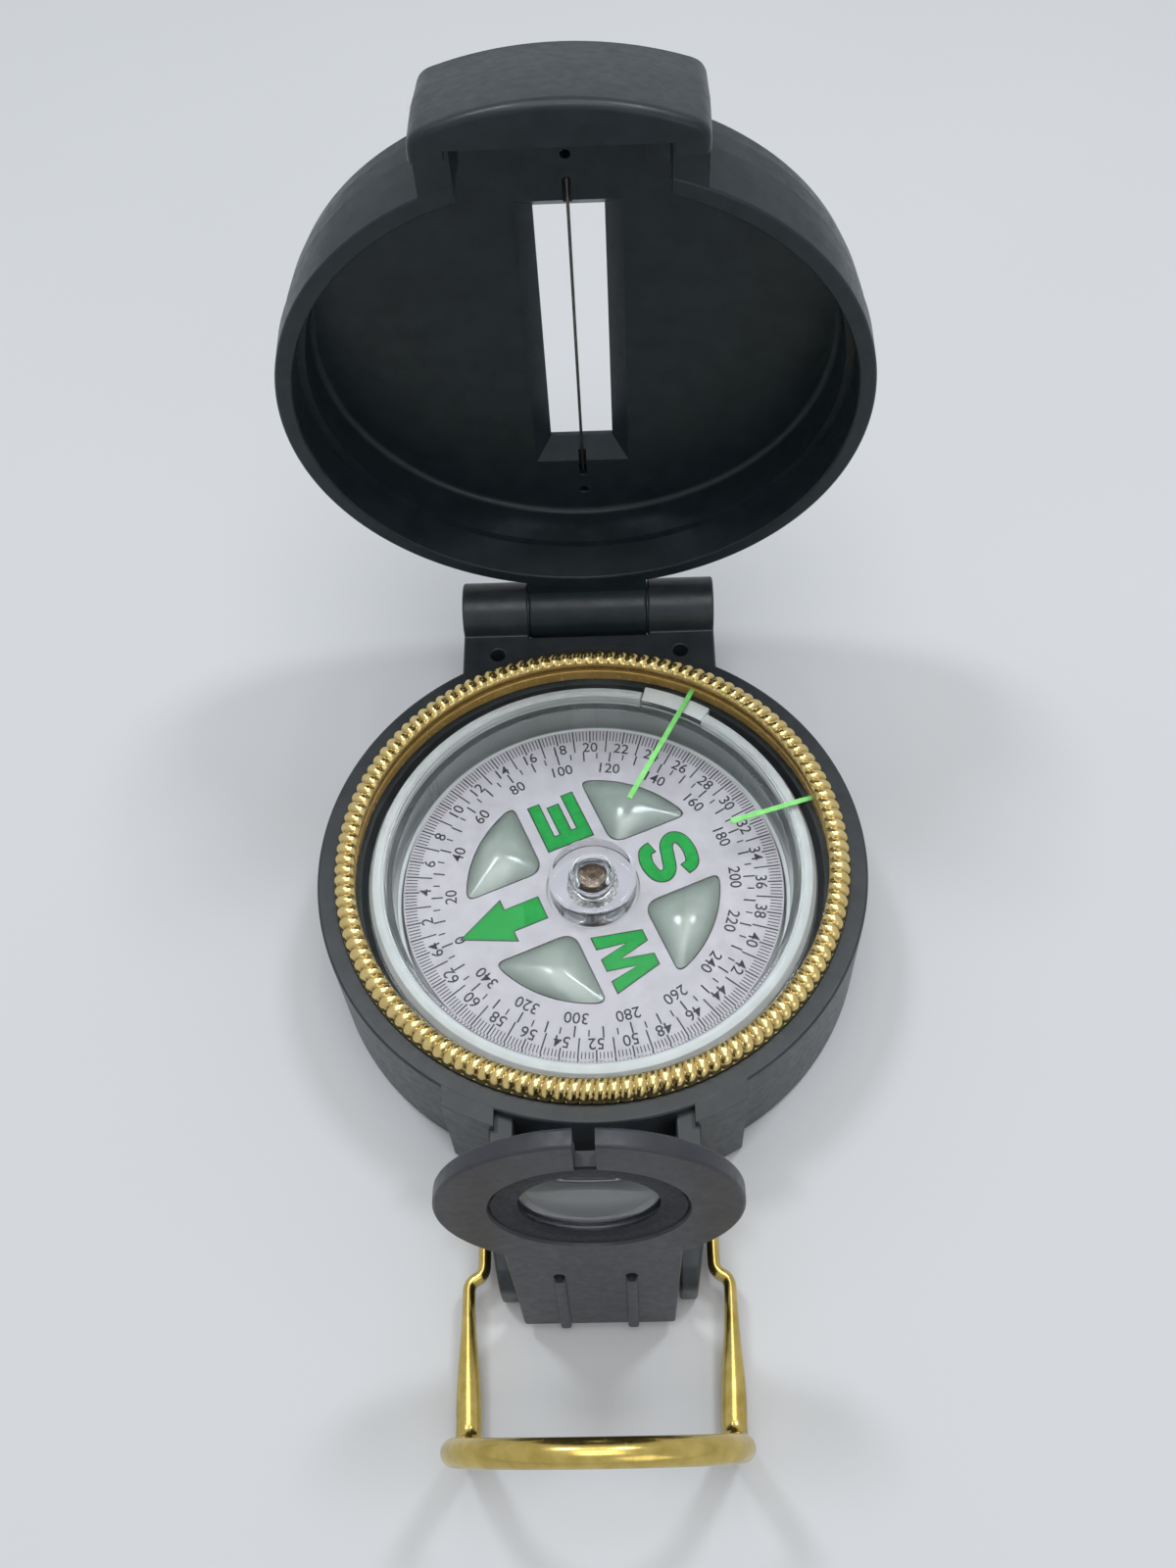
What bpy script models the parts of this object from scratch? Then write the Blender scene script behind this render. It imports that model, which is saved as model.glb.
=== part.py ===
"""Sighting compass with a hinged cover, a folding eyepiece and a wire thumb loop.

Sizes are in millimetres and become metres as each mesh is made. The origin is the centre of the
case's underside, on the dial's axis. +Y points to the cover's hinge and +Z is up.
"""
from math import atan2, cos, degrees, pi, radians, sin, sqrt, tan

import bmesh
import bpy
from mathutils import Matrix, Vector

MM = 0.001
GAP = 0.3  # between pieces that pass or face each other
RUN = 0.1  # radial clearance of a pin in its hole
SEAT = 0.1  # between pieces that rest on each other
MERGE = 1e-5  # metres, for modifiers that close a seam
TURN_STEPS, FINE_STEPS, SMALL_STEPS = 56, 36, 16

# Heights, upwards from the case's floor
CASE_FLOOR = 2.0
CUP_LOW = CASE_FLOOR + GAP
CUP_FLOOR = CUP_LOW + 1.1
MAGNET_LOW = CUP_FLOOR + 2.2
MAGNET_TOP = MAGNET_LOW + 1.3
FLOAT_LOW = MAGNET_TOP + GAP
FLOAT_TOP = FLOAT_LOW + 0.65
CARD_LOW = FLOAT_TOP + SEAT
CARD_TOP = CARD_LOW + 0.35
DOME_TOP = CARD_TOP + 0.8
HUB_STEP = CARD_LOW + 2.4
HUB_TOP = HUB_STEP + 1.1
JEWEL_TOP = CARD_LOW + 2.3
JEWEL_APEX = JEWEL_TOP - 0.5
PIVOT_TIP = JEWEL_APEX - 0.15
LID_UNDER = HUB_TOP + 0.35
LID_TOP = LID_UNDER + 0.8
CUP_TOP = LID_UNDER - 1.1
GLASS_LOW = LID_TOP + 0.6
GLASS_TOP = GLASS_LOW + 1.2
BEZEL_TOP = GLASS_TOP + 1.0
CASE_TOP = GLASS_LOW + 0.5
SNAP_HIGH = CASE_TOP - 1.25
SNAP_LOW = SNAP_HIGH - 1.15
RIM = CASE_TOP + GAP
COVER_PLATE = RIM + 8.6
COVER_TOP = COVER_PLATE + 2.4

# Radii, outwards from the dial
CARD_R = 19.1
FLOAT_R = CARD_R - 0.5
CUP_INNER_R = CARD_R + 1.2
CUP_R = CUP_INNER_R + 2.5
SEAL_R = (CUP_INNER_R + CUP_R) / 2
SEAL_WIRE_R = 0.27
LID_R = CUP_R - 0.2
LID_FLAT_R = CUP_INNER_R - 0.5
WELL_R = CUP_R + 0.6
GLASS_R = WELL_R + 1.1
GLASS_SEAT_R = GLASS_R + GAP
SKIRT_R = GLASS_SEAT_R + 0.45
BORE_R = SKIRT_R + GAP
SNAP_R = BORE_R + 0.5
BEZEL_R = BORE_R + 0.2
CASE_R = SNAP_R + 1.45
COVER_R = CASE_R + 0.2
COVER_BORE_R = BEZEL_R + GAP
COVER_INNER_R = COVER_BORE_R - 0.75

# Small pieces of the capsule and dial
PLUG_TURN, PLUG_SPAN, PLUG_TOP = 65.5, 9.4, LID_TOP - 0.45
PLUG_INNER_R, PLUG_OUTER_R = CUP_INNER_R + 0.8, CUP_R + 0.25
PIVOT_R, JEWEL_R, HUB_R, HUB_CAP_R = 0.5, 1.45, 4.5, 2.2
MAGNET_HALF, MAGNET_WIDE = 11.0, 2.6
DIAL_NORTH = 203.0  # degrees from +X to the dial's north at rest
WINDOW_R, WINDOW_EDGE, WINDOW_SOFT = 12.6, 3.75, 1.7

# Bezel
KNURL_SLICES, SLICE_STEPS, KNURL_DEEP = 43, 6, 0.3  # three teeth to a slice
LIP_R = GLASS_R - 0.8
MARK_WIDE, MARK_THICK, MARK_R = 0.55, 0.15, GLASS_R - GAP
LONG_TURN, LONG_INNER_R = 62.2, 8.5
SHORT_TURN, SHORT_INNER_R = 17.2, 14.9

# Case lugs, side blocks and the axis that the eyepiece and the loop share
EAR_LOBE, EAR_WIDE = 1.9, 1.5
WEB_TOP = 1.2
FOLD_Y, FOLD_Z = -(CASE_R + 1.1), WEB_TOP + 0.7 + EAR_LOBE
LUG_INNER_X, LUG_THICK, LUG_TAPER = 7.45, 2.3, 0.7
LUG_OUTER_X = LUG_INNER_X + LUG_THICK
LUG_TIP_Y = FOLD_Y - 11.5
LUG_TOP = CASE_TOP - 1.1
EAR_OUTER_X = LUG_INNER_X - GAP - 0.05
EAR_INNER_X = EAR_OUTER_X - EAR_WIDE
BLOCK_R = CASE_R + 1.5
BLOCK_INNER_X, BLOCK_OUTER_X = LUG_OUTER_X - 0.55, 14.1
LOOP_PIN_R = 0.62
BLIND_X, BLIND_Y, BLIND_R, BLIND_DEEP = 9.93, CASE_R - 1.4, 0.8, 4.0

# Cover hinge
HINGE_Y, HINGE_Z = CASE_R + 4.37, RIM - 0.02
KNUCKLE_R, HINGE_PIN_R = 3.2, 0.8
HINGE_X, MID_KNUCKLE_X, HINGE_FOOT = 13.7, 6.4, 2.6
COVER_OPEN = 86.2  # degrees from shut

# Cover
SLOT_X, SLOT_Y, SLOT_BEVEL_X, SLOT_BEVEL_Y = 3.2, 15.1, 1.6, 1.95
NOSE_X, NOSE_INNER_X, NOSE_LIP = 11.8, 8.7, RIM - 3.4
NOSE_INNER_Y = -(CASE_R + 4.9)
WIRE_R, WIRE_Z, WIRE_END_Y = 0.15, COVER_PLATE + 0.4, 19.0

# Eyepiece, drawn in its own plane: x across, y up the plate, z out of its front
EYE_R, EYE_HALF, EYE_LEAN, EYE_RISE = 12.2, 0.8, 3.65, 26.0
EYE_Z = FOLD_Z + EYE_RISE
EYE_Y = LUG_TIP_Y - EYE_HALF - GAP - 0.17 + EYE_RISE * tan(radians(EYE_LEAN))
PLATE_LOW, PLATE_HIGH, PLATE_LOW_X, PLATE_HIGH_X = -28.1, -8.0, 6.95, 7.45
RIB_X, RIB_HALF, RIB_LOW, RIB_HIGH, RIB_RISE = 3.1, 0.6, PLATE_LOW - 0.5, -9.5, 0.5
LENS_R = 5.9
LENS_SEAT_R = LENS_R + GAP - 0.05
LENS_HOLE_R = LENS_R - 0.7
LENS_MOUTH_R = LENS_SEAT_R + 0.75
BOSS_R, BOSS_RISE, SIGHT_HALF = 8.0, 0.7, 0.85

# Thumb loop
FLAT_HALF, FLAT_TALL, WIRE_FULL_R = LOOP_PIN_R, 1.2, 1.2
ARM_X = LUG_OUTER_X + GAP + FLAT_HALF
KINK_X, RING_X = ARM_X + 1.42, ARM_X + 1.18
KINK_REACH, RING_REACH, RING_DROP, RING_LEAN, RING_TALL = 11.5, 24.3, 2.45, 10.6, 23.0


def clear_scene():
    for item in list(bpy.data.objects):
        bpy.data.objects.remove(item, do_unlink=True)


def new_collection(name):
    made = bpy.data.collections.new(name)
    bpy.context.scene.collection.children.link(made)
    return made


def new_material(name, colour, rough, metal=0.0, clear=0.0):
    made = bpy.data.materials.new(name)
    made.use_nodes = True
    shader = made.node_tree.nodes["Principled BSDF"]
    shader.inputs["Base Color"].default_value = (*colour, 1.0)
    shader.inputs["Roughness"].default_value = rough
    shader.inputs["Metallic"].default_value = metal
    shader.inputs["Transmission Weight"].default_value = clear
    made.diffuse_color = (*colour, 1.0)
    return made


def new_axis(name, at, turn=(0.0, 0.0, 0.0), parent=None):
    """An empty on a joint's axis. What hangs on it is drawn in the case's frame, with the joint shut."""
    made = bpy.data.objects.new(name, None)
    made.empty_display_size = 5 * MM
    made.location = [c * MM for c in at]
    made.rotation_euler = [radians(a) for a in turn]
    made["shift"] = [0.0, 0.0, 0.0] if parent else [-c * MM for c in at]
    made.parent = parent
    if parent:
        made.location += Vector(parent["shift"])
    pieces.objects.link(made)
    return made


# ---- outlines ----------------------------------------------------------------------------------


def arc(u, v, r, start, end, steps):
    turns = [radians(start + (end - start) * k / steps) for k in range(steps + 1)]
    return [(u + r * cos(t), v + r * sin(t)) for t in turns]


def fillet(a, corner, b, steps):
    """Points from a to b, rounded towards a corner."""
    out = []
    for t in (k / steps for k in range(steps + 1)):
        out.append(tuple((1 - t) ** 2 * p + 2 * t * (1 - t) * q + t * t * r for p, q, r in zip(a, corner, b)))
    return out


def turned_by(points, degrees_on):
    c, s = cos(radians(degrees_on)), sin(radians(degrees_on))
    return [(x * c - y * s, x * s + y * c) for x, y in points]


# ---- shapes, each a hidden object until it is made a piece -------------------------------------


def from_bmesh(name, bm):
    bmesh.ops.scale(bm, vec=(MM, MM, MM), verts=bm.verts)
    if bm.faces:
        bmesh.ops.recalc_face_normals(bm, faces=bm.faces)
    mesh = bpy.data.meshes.new(name)
    bm.to_mesh(mesh)
    bm.free()
    made = bpy.data.objects.new(name, mesh)
    made.hide_render = True
    made.display_type = "WIRE"
    tools.objects.link(made)
    return made


def turned(name, profile, steps=FINE_STEPS):
    """A (radius, height) profile turned about Z. The Screw needs it to run down its outer side."""
    around = zip(profile, profile[1:] + profile[:1])
    if sum(r0 * z1 - r1 * z0 for (r0, z0), (r1, z1) in around) > 0:
        profile = profile[::-1]
    while profile[0][0] == 0 and profile[-1][0] != 0 or profile[0][0] == profile[1][0] == 0:
        profile = profile[1:] + profile[:1]
    bm = bmesh.new()
    verts = [bm.verts.new((r, 0, z)) for r, z in profile]
    for a, b in zip(verts, verts[1:]):
        bm.edges.new((a, b))
    if profile[0][0] > 0:
        bm.edges.new((verts[-1], verts[0]))
    made = from_bmesh(name, bm)
    screw = made.modifiers.new("Turn", "SCREW")
    screw.steps = screw.render_steps = steps
    screw.use_merge_vertices = True
    screw.merge_threshold = MERGE
    return made


def whole_ends(shape):
    """Each flat end becomes one face, so that no later cut meets the edges of its fan."""
    step = shape.modifiers.new("Whole ends", "DECIMATE")
    step.decimate_type, step.angle_limit = "DISSOLVE", radians(0.1)
    return shape


def plate(name, outline, low, high, facing="Z"):
    """An outline filled and thickened. Facing Z its points are (x, y), and facing X they are (y, z)."""
    drawn = bpy.data.curves.new(name, "CURVE")
    drawn.dimensions = "2D"
    drawn.fill_mode = "BOTH"
    drawn.extrude = (high - low) / 2
    spline = drawn.splines.new("POLY")
    spline.points.add(len(outline) - 1)
    for point, (u, v) in zip(spline.points, outline):
        point.co = (u, v, 0, 1)
    spline.use_cyclic_u = True
    guide = bpy.data.objects.new(name, drawn)
    tools.objects.link(guide)
    graph = bpy.context.evaluated_depsgraph_get()
    bm = bmesh.new()
    bm.from_mesh(bpy.data.meshes.new_from_object(guide.evaluated_get(graph)))
    bpy.data.objects.remove(guide)
    bmesh.ops.remove_doubles(bm, verts=bm.verts, dist=1e-4)
    bmesh.ops.translate(bm, vec=(0, 0, (low + high) / 2), verts=bm.verts)
    if facing == "X":
        bmesh.ops.transform(bm, matrix=Matrix(((0, 0, 1, 0), (1, 0, 0, 0), (0, 1, 0, 0), (0, 0, 0, 1))), verts=bm.verts)
    return from_bmesh(name, bm)


def block(name, low, high):
    bm = bmesh.new()
    size = [b - a for a, b in zip(low, high)]
    middle = Matrix.Translation([(a + b) / 2 for a, b in zip(low, high)])
    bmesh.ops.create_cube(bm, size=1.0, matrix=middle @ Matrix.Diagonal((*size, 1)))
    return from_bmesh(name, bm)


def rod(name, start, end, r, steps=SMALL_STEPS):
    bm = bmesh.new()
    start, end = Vector(start), Vector(end)
    turn = (end - start).to_track_quat("Z", "Y").to_matrix().to_4x4()
    place = Matrix.Translation((start + end) / 2) @ turn
    long = (end - start).length
    bmesh.ops.create_cone(bm, cap_ends=True, segments=steps, radius1=r, radius2=r, depth=long, matrix=place)
    return from_bmesh(name, bm)


def loft(name, rings):
    """A skin through rings of as many points each, for forms whose section changes as they go."""
    bm = bmesh.new()
    made = [[bm.verts.new(p) for p in ring] for ring in rings]
    for a, b in zip(made, made[1:]):
        for k in range(len(a)):
            n = (k + 1) % len(a)
            bm.faces.new((a[k], a[n], b[n], b[k]))
    bm.faces.new(made[0])
    bm.faces.new(made[-1])
    return from_bmesh(name, bm)


def soften(made, width):
    bevel = made.modifiers.new("Soft edges", "BEVEL")
    bevel.width = width * MM
    bevel.segments = 1
    bevel.limit_method = "ANGLE"
    bevel.angle_limit = radians(40)
    return made


def hang(made, axis):
    made.parent = axis
    made.location = axis["shift"]
    return made


def piece(made, material, axis=None):
    """Shows a shape as one of the compass's pieces, on its joint's axis if it moves."""
    tools.objects.unlink(made)
    pieces.objects.link(made)
    made.hide_render = False
    made.display_type = "TEXTURED"
    made.data.materials.append(material)
    return hang(made, axis) if axis else made


def combine(target, kind, shapes):
    for shape in shapes:
        if target.parent and not shape.parent:
            hang(shape, target.parent)
        modifier = target.modifiers.new(shape.name, "BOOLEAN")
        modifier.operation = kind
        modifier.solver = "EXACT"
        modifier.object = shape


def fuse(target, *shapes):
    combine(target, "UNION", shapes)


def cut(target, *shapes):
    combine(target, "DIFFERENCE", shapes)


# ---- case --------------------------------------------------------------------------------------


def side_block(side):
    """A thicker stretch of the case's wall beside each lug, with a bevelled foot."""
    steps = 5
    foot = 0.6
    xs = [BLOCK_INNER_X + (BLOCK_OUTER_X - BLOCK_INNER_X) * k / steps for k in range(steps + 1)]
    rings = []
    for z, r in ((0.0, BLOCK_R - foot), (foot, BLOCK_R), (CASE_TOP, BLOCK_R)):
        ring = [(side * x, -sqrt(r * r - x * x), z) for x in xs]
        rings.append(ring + [(side * BLOCK_OUTER_X, -20.0, z), (side * BLOCK_INNER_X, -20.0, z)])
    return loft(f"side_block_{side}", rings)


def lug(side):
    """A cheek that guards the eyepiece's ear: high at the wall, low and round at its tip."""
    wall_y, tip = FOLD_Y + 4.1, LUG_TIP_Y
    outline = [(wall_y, 0.0)] + fillet((tip + 1.6, 0.0), (tip, 0.0), (tip, 1.8), 4)
    outline += fillet((tip, 4.0), (tip, 5.8), (tip + 1.7, 6.6), 4)
    outline += fillet((FOLD_Y - 4.6, 8.5), (FOLD_Y - 1.4, 9.7), (FOLD_Y - 1.3, LUG_TOP), 4)
    made = plate(f"lug_{side}", outline + [(wall_y, LUG_TOP)], LUG_INNER_X, LUG_OUTER_X, "X")
    made.scale.x = side
    return made


def lug_taper(side):
    outer, slim = LUG_OUTER_X, LUG_OUTER_X - LUG_TAPER
    outline = [(outer, LUG_TIP_Y + 4.1), (slim, LUG_TIP_Y), (slim, LUG_TIP_Y - 1)]
    outline += [(outer + 2, LUG_TIP_Y - 1), (outer + 2, LUG_TIP_Y + 4.1)]
    return plate(f"lug_taper_{side}", [(side * x, y) for x, y in outline], -1.0, 9.0)


def hinge_block():
    sink = degrees(atan2(HINGE_Z - CASE_TOP, KNUCKLE_R))
    back, foot = HINGE_Y + KNUCKLE_R, HINGE_FOOT
    outline = [(CASE_R - 7.5, foot), (CASE_R - 7.5, CASE_TOP)]
    outline += arc(HINGE_Y, HINGE_Z, KNUCKLE_R, 180 + sink, 0, 14)
    outline += [(back, foot + 2.2), (back - 2.0, foot)]
    return plate("hinge_block", outline, -HINGE_X, HINGE_X, "X")


def build_case():
    edge = 0.5
    cup = [(0, 0), (CASE_R - edge, 0), (CASE_R, edge), (CASE_R, CASE_TOP), (0, CASE_TOP)]
    case = piece(turned("base_case", cup, TURN_STEPS), black_plastic)
    fuse(case, hinge_block(), side_block(-1), side_block(1), lug(-1), lug(1))
    fuse(case, block("web", (-LUG_INNER_X - 0.3, FOLD_Y - 7.9, 0), (LUG_INNER_X + 0.3, FOLD_Y + 4.1, WEB_TOP)))
    bore = [(0, CASE_FLOOR), (WELL_R, CASE_FLOOR), (WELL_R, SNAP_LOW), (SNAP_R, SNAP_LOW), (SNAP_R, SNAP_HIGH)]
    bore += [(BORE_R, SNAP_HIGH), (BORE_R, CASE_TOP + 5), (0, CASE_TOP + 5)]
    cut(case, turned("case_bore", bore, TURN_STEPS))
    gap_x = MID_KNUCKLE_X + GAP + 0.05
    near, far = HINGE_Y - KNUCKLE_R - GAP - 0.07, HINGE_Y + KNUCKLE_R + 2
    cut(case, block("hinge_gap", (-gap_x, near, -1), (gap_x, far, CASE_TOP + 6)))
    cut(case, rod("hinge_bore", (-15, HINGE_Y, HINGE_Z), (15, HINGE_Y, HINGE_Z), HINGE_PIN_R + RUN))
    pocket_x = LUG_INNER_X - 0.15
    cut(case, block("ear_pocket", (-pocket_x, FOLD_Y - 1.4, WEB_TOP - GAP), (pocket_x, FOLD_Y + 2.25, FOLD_Z + 5.2)))
    for side in (-1, 1):
        inner, outer = (side * (EAR_OUTER_X - 0.6), FOLD_Y, FOLD_Z), (side * (LUG_OUTER_X + 0.8), FOLD_Y, FOLD_Z)
        cut(case, lug_taper(side), rod(f"lug_hole_{side}", inner, outer, LOOP_PIN_R + RUN))
        low, high = (side * BLIND_X, BLIND_Y, CASE_TOP - BLIND_DEEP), (side * BLIND_X, BLIND_Y, CASE_TOP + 1)
        cut(case, rod(f"blind_hole_{side}", low, high, BLIND_R))


def build_hinge_pin():
    end = HINGE_X - 0.2
    piece(rod("hinge_pin", (-end, HINGE_Y, HINGE_Z), (end, HINGE_Y, HINGE_Z), HINGE_PIN_R), steel)


# ---- capsule -----------------------------------------------------------------------------------


def build_capsule():
    half, deep = SEAL_WIRE_R + 0.13, 0.65
    socket = CUP_FLOOR + 0.2
    boss_top = CUP_FLOOR + 1.6
    cup = [(0, CUP_LOW), (CUP_R - 0.4, CUP_LOW), (CUP_R, CUP_LOW + 0.4), (CUP_R, CUP_TOP)]
    cup += [(SEAL_R + half, CUP_TOP), (SEAL_R + half, CUP_TOP - deep), (SEAL_R - half, CUP_TOP - deep)]
    cup += [(SEAL_R - half, CUP_TOP), (CUP_INNER_R, CUP_TOP), (CUP_INNER_R, CUP_FLOOR + 0.5)]
    cup += [(CUP_INNER_R - 0.5, CUP_FLOOR), (PIVOT_R + 1.4, CUP_FLOOR), (PIVOT_R + 1.2, boss_top)]
    cup += [(PIVOT_R + SEAT, boss_top), (PIVOT_R + SEAT, socket), (0, socket)]
    piece(turned("capsule_cup", cup), clear_plastic)

    low = CUP_TOP + 0.15
    lid = [(LID_R, low), (LID_R, low + 0.45), (LID_R - 0.4, low + 0.8), (LID_FLAT_R + 0.9, LID_TOP - 0.25)]
    lid += [(LID_FLAT_R, LID_TOP), (0, LID_TOP), (0, LID_UNDER), (LID_FLAT_R - 0.4, LID_UNDER)]
    lid += [(LID_FLAT_R + 0.4, LID_UNDER - 0.35), (LID_FLAT_R + 0.7, low)]
    made = piece(turned("capsule_lid", lid), clear_plastic)
    cut(made, plug_shape("plug_notch", PLUG_INNER_R - SEAT, LID_R + 1, SEAT, low - 1, LID_TOP + 1))
    piece(plug_shape("fill_plug", PLUG_INNER_R, PLUG_OUTER_R, 0.0, CUP_TOP + SEAT, PLUG_TOP), clear_plastic)

    seal = arc(SEAL_R, CUP_TOP - deep + SEAL_WIRE_R + 0.04, SEAL_WIRE_R, 0, 300, 5)
    piece(turned("capsule_seal", seal), rubber)
    pin = [(0, socket + SEAT), (PIVOT_R, socket + SEAT), (PIVOT_R, PIVOT_TIP - 1.0), (0.08, PIVOT_TIP), (0, PIVOT_TIP)]
    piece(turned("dial_pivot", pin, 16), steel)


def plug_shape(name, inner, outer, more, low, high):
    """A short stretch of ring, wider by a little more at each end."""
    half = PLUG_SPAN + degrees(more / inner)
    outline = arc(0, 0, outer, PLUG_TURN - half, PLUG_TURN + half, 8)
    return plate(name, outline + arc(0, 0, inner, PLUG_TURN + half, PLUG_TURN - half, 8), low, high)


# ---- dial --------------------------------------------------------------------------------------


def window_outline(share=1.0):
    """One of the dial's four windows, between the arms that carry two of its signs."""
    edge, soft, end = WINDOW_EDGE, WINDOW_SOFT, 1.0
    far = sqrt(WINDOW_R**2 - edge**2)
    slope = degrees(atan2(edge, far)) + 5.5
    points = fillet((edge, edge + soft), (edge, edge), (edge + soft, edge), 3)
    points += [(far - end, edge), (far - end / 4, edge + end / 4)]
    points += arc(0, 0, WINDOW_R, slope, 90 - slope, 6)
    points += [(edge + end / 4, far - end / 4), (edge, far - end)]
    middle = WINDOW_R * 0.55
    return [(middle + (x - middle) * share, middle + (y - middle) * share) for x, y in points]


def dome(turn):
    """The float rises through a window of the card in a low dome."""
    levels = ((0.94, FLOAT_TOP - 0.3), (0.94, CARD_TOP - 0.1), (0.87, CARD_TOP + 0.3))
    levels += ((0.65, DOME_TOP - 0.15), (0.25, DOME_TOP))
    return loft(f"dome_{turn}", [[(x, y, z) for x, y in turned_by(window_outline(s), turn)] for s, z in levels])


def build_dial():
    axis = new_axis("dial_axis", (0, 0, 0), (0, 0, DIAL_NORTH - 90))
    low, high = CARD_LOW, CARD_TOP
    hole = HUB_R + GAP
    card = piece(turned("dial_card", [(CARD_R, high), (CARD_R, low), (hole, low), (hole, high)], TURN_STEPS), printed_card, axis)
    ring = [(2.6, FLOAT_LOW), (FLOAT_R, FLOAT_LOW), (FLOAT_R, FLOAT_TOP), (2.6, FLOAT_TOP)]
    floater = piece(turned("dial_float", ring), milky_plastic, axis)
    for turn in (0, 90, 180, 270):
        cut(card, plate(f"window_{turn}", turned_by(window_outline(), turn), low - 1, high + 1))
        fuse(floater, dome(turn))

    hollow, top, edge = JEWEL_R + GAP, HUB_TOP, 0.25
    hub = [(hollow + edge, low), (HUB_R, low), (HUB_R, HUB_STEP - edge), (HUB_R - edge, HUB_STEP)]
    hub += [(HUB_CAP_R + edge, HUB_STEP), (HUB_CAP_R, HUB_STEP + edge), (HUB_CAP_R - 0.1, top - 0.45)]
    hub += [(HUB_CAP_R - 0.6, top - 0.15), (0.8, top - 0.03), (0, top), (0, top - 0.7)]
    hub += [(hollow - 0.15, top - 0.9), (hollow, top - 1.15), (hollow, low + 0.35)]
    piece(turned("dial_hub", hub, 24), clear_plastic, axis)

    jewel = [(0.9, low + 0.05), (JEWEL_R, low + 0.05), (JEWEL_R, JEWEL_TOP - edge), (JEWEL_R - edge, JEWEL_TOP)]
    piece(turned("jewel_cup", jewel + [(0, JEWEL_TOP), (0, JEWEL_APEX)], 16), brass, axis)

    nose = MAGNET_WIDE - 1.4
    half = [(nose, MAGNET_HALF), (MAGNET_WIDE, MAGNET_HALF - 2.4)]
    half += [(x, -y) for x, y in reversed(half)]
    bar = plate("dial_magnet", half + [(-x, -y) for x, y in half], MAGNET_LOW, MAGNET_TOP)
    magnet = piece(bar, steel, axis)
    cut(magnet, rod("magnet_hole", (0, 0, MAGNET_LOW - 1), (0, 0, MAGNET_TOP + 1), PIVOT_R + 1.1))


# ---- bezel -------------------------------------------------------------------------------------


def knurl_slice():
    """A slice of the bezel as wide as its teeth, fine where they are cut and coarse within."""
    top, deep = BEZEL_TOP, KNURL_DEEP
    toothed = [((LIP_R + 0.4, top), (0.0, 0.5)), ((BEZEL_R - 0.45, top - 0.2), (0.5, 1.0))]
    toothed += [((BEZEL_R, top - 0.85), (1.0, 0.0)), ((BEZEL_R - 0.1, CASE_TOP + GAP), (0.65, 0.0))]
    plain = [(SKIRT_R, CASE_TOP + GAP), (SKIRT_R, SNAP_HIGH - 0.15), (SNAP_R - GAP, SNAP_HIGH - 0.4)]
    plain += [(SNAP_R - GAP, SNAP_LOW + GAP), (WELL_R + 0.5, SNAP_LOW + GAP), (GLASS_R - 0.2, GLASS_LOW - GAP)]
    plain += [(GLASS_SEAT_R, GLASS_LOW - GAP), (GLASS_SEAT_R, top - 0.6), (LIP_R, top - 0.6), (LIP_R, top - 0.35)]
    section = [point for point, _ in toothed] + plain
    steps = SLICE_STEPS
    bm = bmesh.new()
    start = [bm.verts.new((r, 0, z)) for r, z in section]
    edges = [bm.edges.new(pair) for pair in zip(start, start[1:] + start[:1])]
    turn = 2 * pi / KNURL_SLICES
    bmesh.ops.spin(bm, geom=start + edges, cent=(0, 0, 0), axis=(0, 0, 1), angle=turn, steps=steps)
    columns = {}
    for vert in bm.verts:
        column = round(atan2(vert.co.y, vert.co.x) / turn * steps)
        r, z = vert.co.xy.length, vert.co.z
        row = min(range(len(section)), key=lambda k: abs(section[k][0] - r) + abs(section[k][1] - z))
        columns[vert] = (column, row)
    inside = range(len(toothed), len(section))
    spare = []
    for edge in bm.edges:
        (c0, r0), (c1, r1) = (columns[v] for v in edge.verts)
        if c0 == c1 and 0 < c0 < steps and r0 in inside and r1 in inside:
            spare.append(edge)
    for vert, (column, row) in columns.items():
        if column % 2 and row < len(toothed):
            inward, down = toothed[row][1]
            vert.co -= Vector((vert.co.x, vert.co.y, 0)).normalized() * (inward * deep)
            vert.co.z -= down * deep
    bmesh.ops.dissolve_edges(bm, edges=spare, use_verts=True)
    return from_bmesh("bezel_ring", bm)


def build_bezel():
    axis = new_axis("bezel_axis", (0, 0, 0))
    step = new_axis("knurl_step", (0, 0, 0), (0, 0, 360 / KNURL_SLICES), axis)
    ring = piece(knurl_slice(), brass, axis)
    array = ring.modifiers.new("Knurl", "ARRAY")
    array.count = KNURL_SLICES
    array.use_relative_offset = False
    array.use_object_offset = True
    array.offset_object = step
    array.use_merge_vertices = array.use_merge_vertices_cap = True
    array.merge_threshold = MERGE

    edge = 0.15
    glass = [(0, GLASS_LOW), (GLASS_R, GLASS_LOW), (GLASS_R, GLASS_TOP - edge), (GLASS_R - edge, GLASS_TOP)]
    piece(turned("bezel_glass", glass + [(0, GLASS_TOP)]), clear_plastic, axis)
    high = GLASS_LOW - 0.05
    for name, turn, inner in (("marker_long", LONG_TURN, LONG_INNER_R), ("marker_short", SHORT_TURN, SHORT_INNER_R)):
        mark = block(name, (inner, -MARK_WIDE / 2, high - MARK_THICK), (MARK_R, MARK_WIDE / 2, high))
        piece(mark, luminous, axis).rotation_euler.z = radians(turn)


# ---- cover -------------------------------------------------------------------------------------


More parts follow.
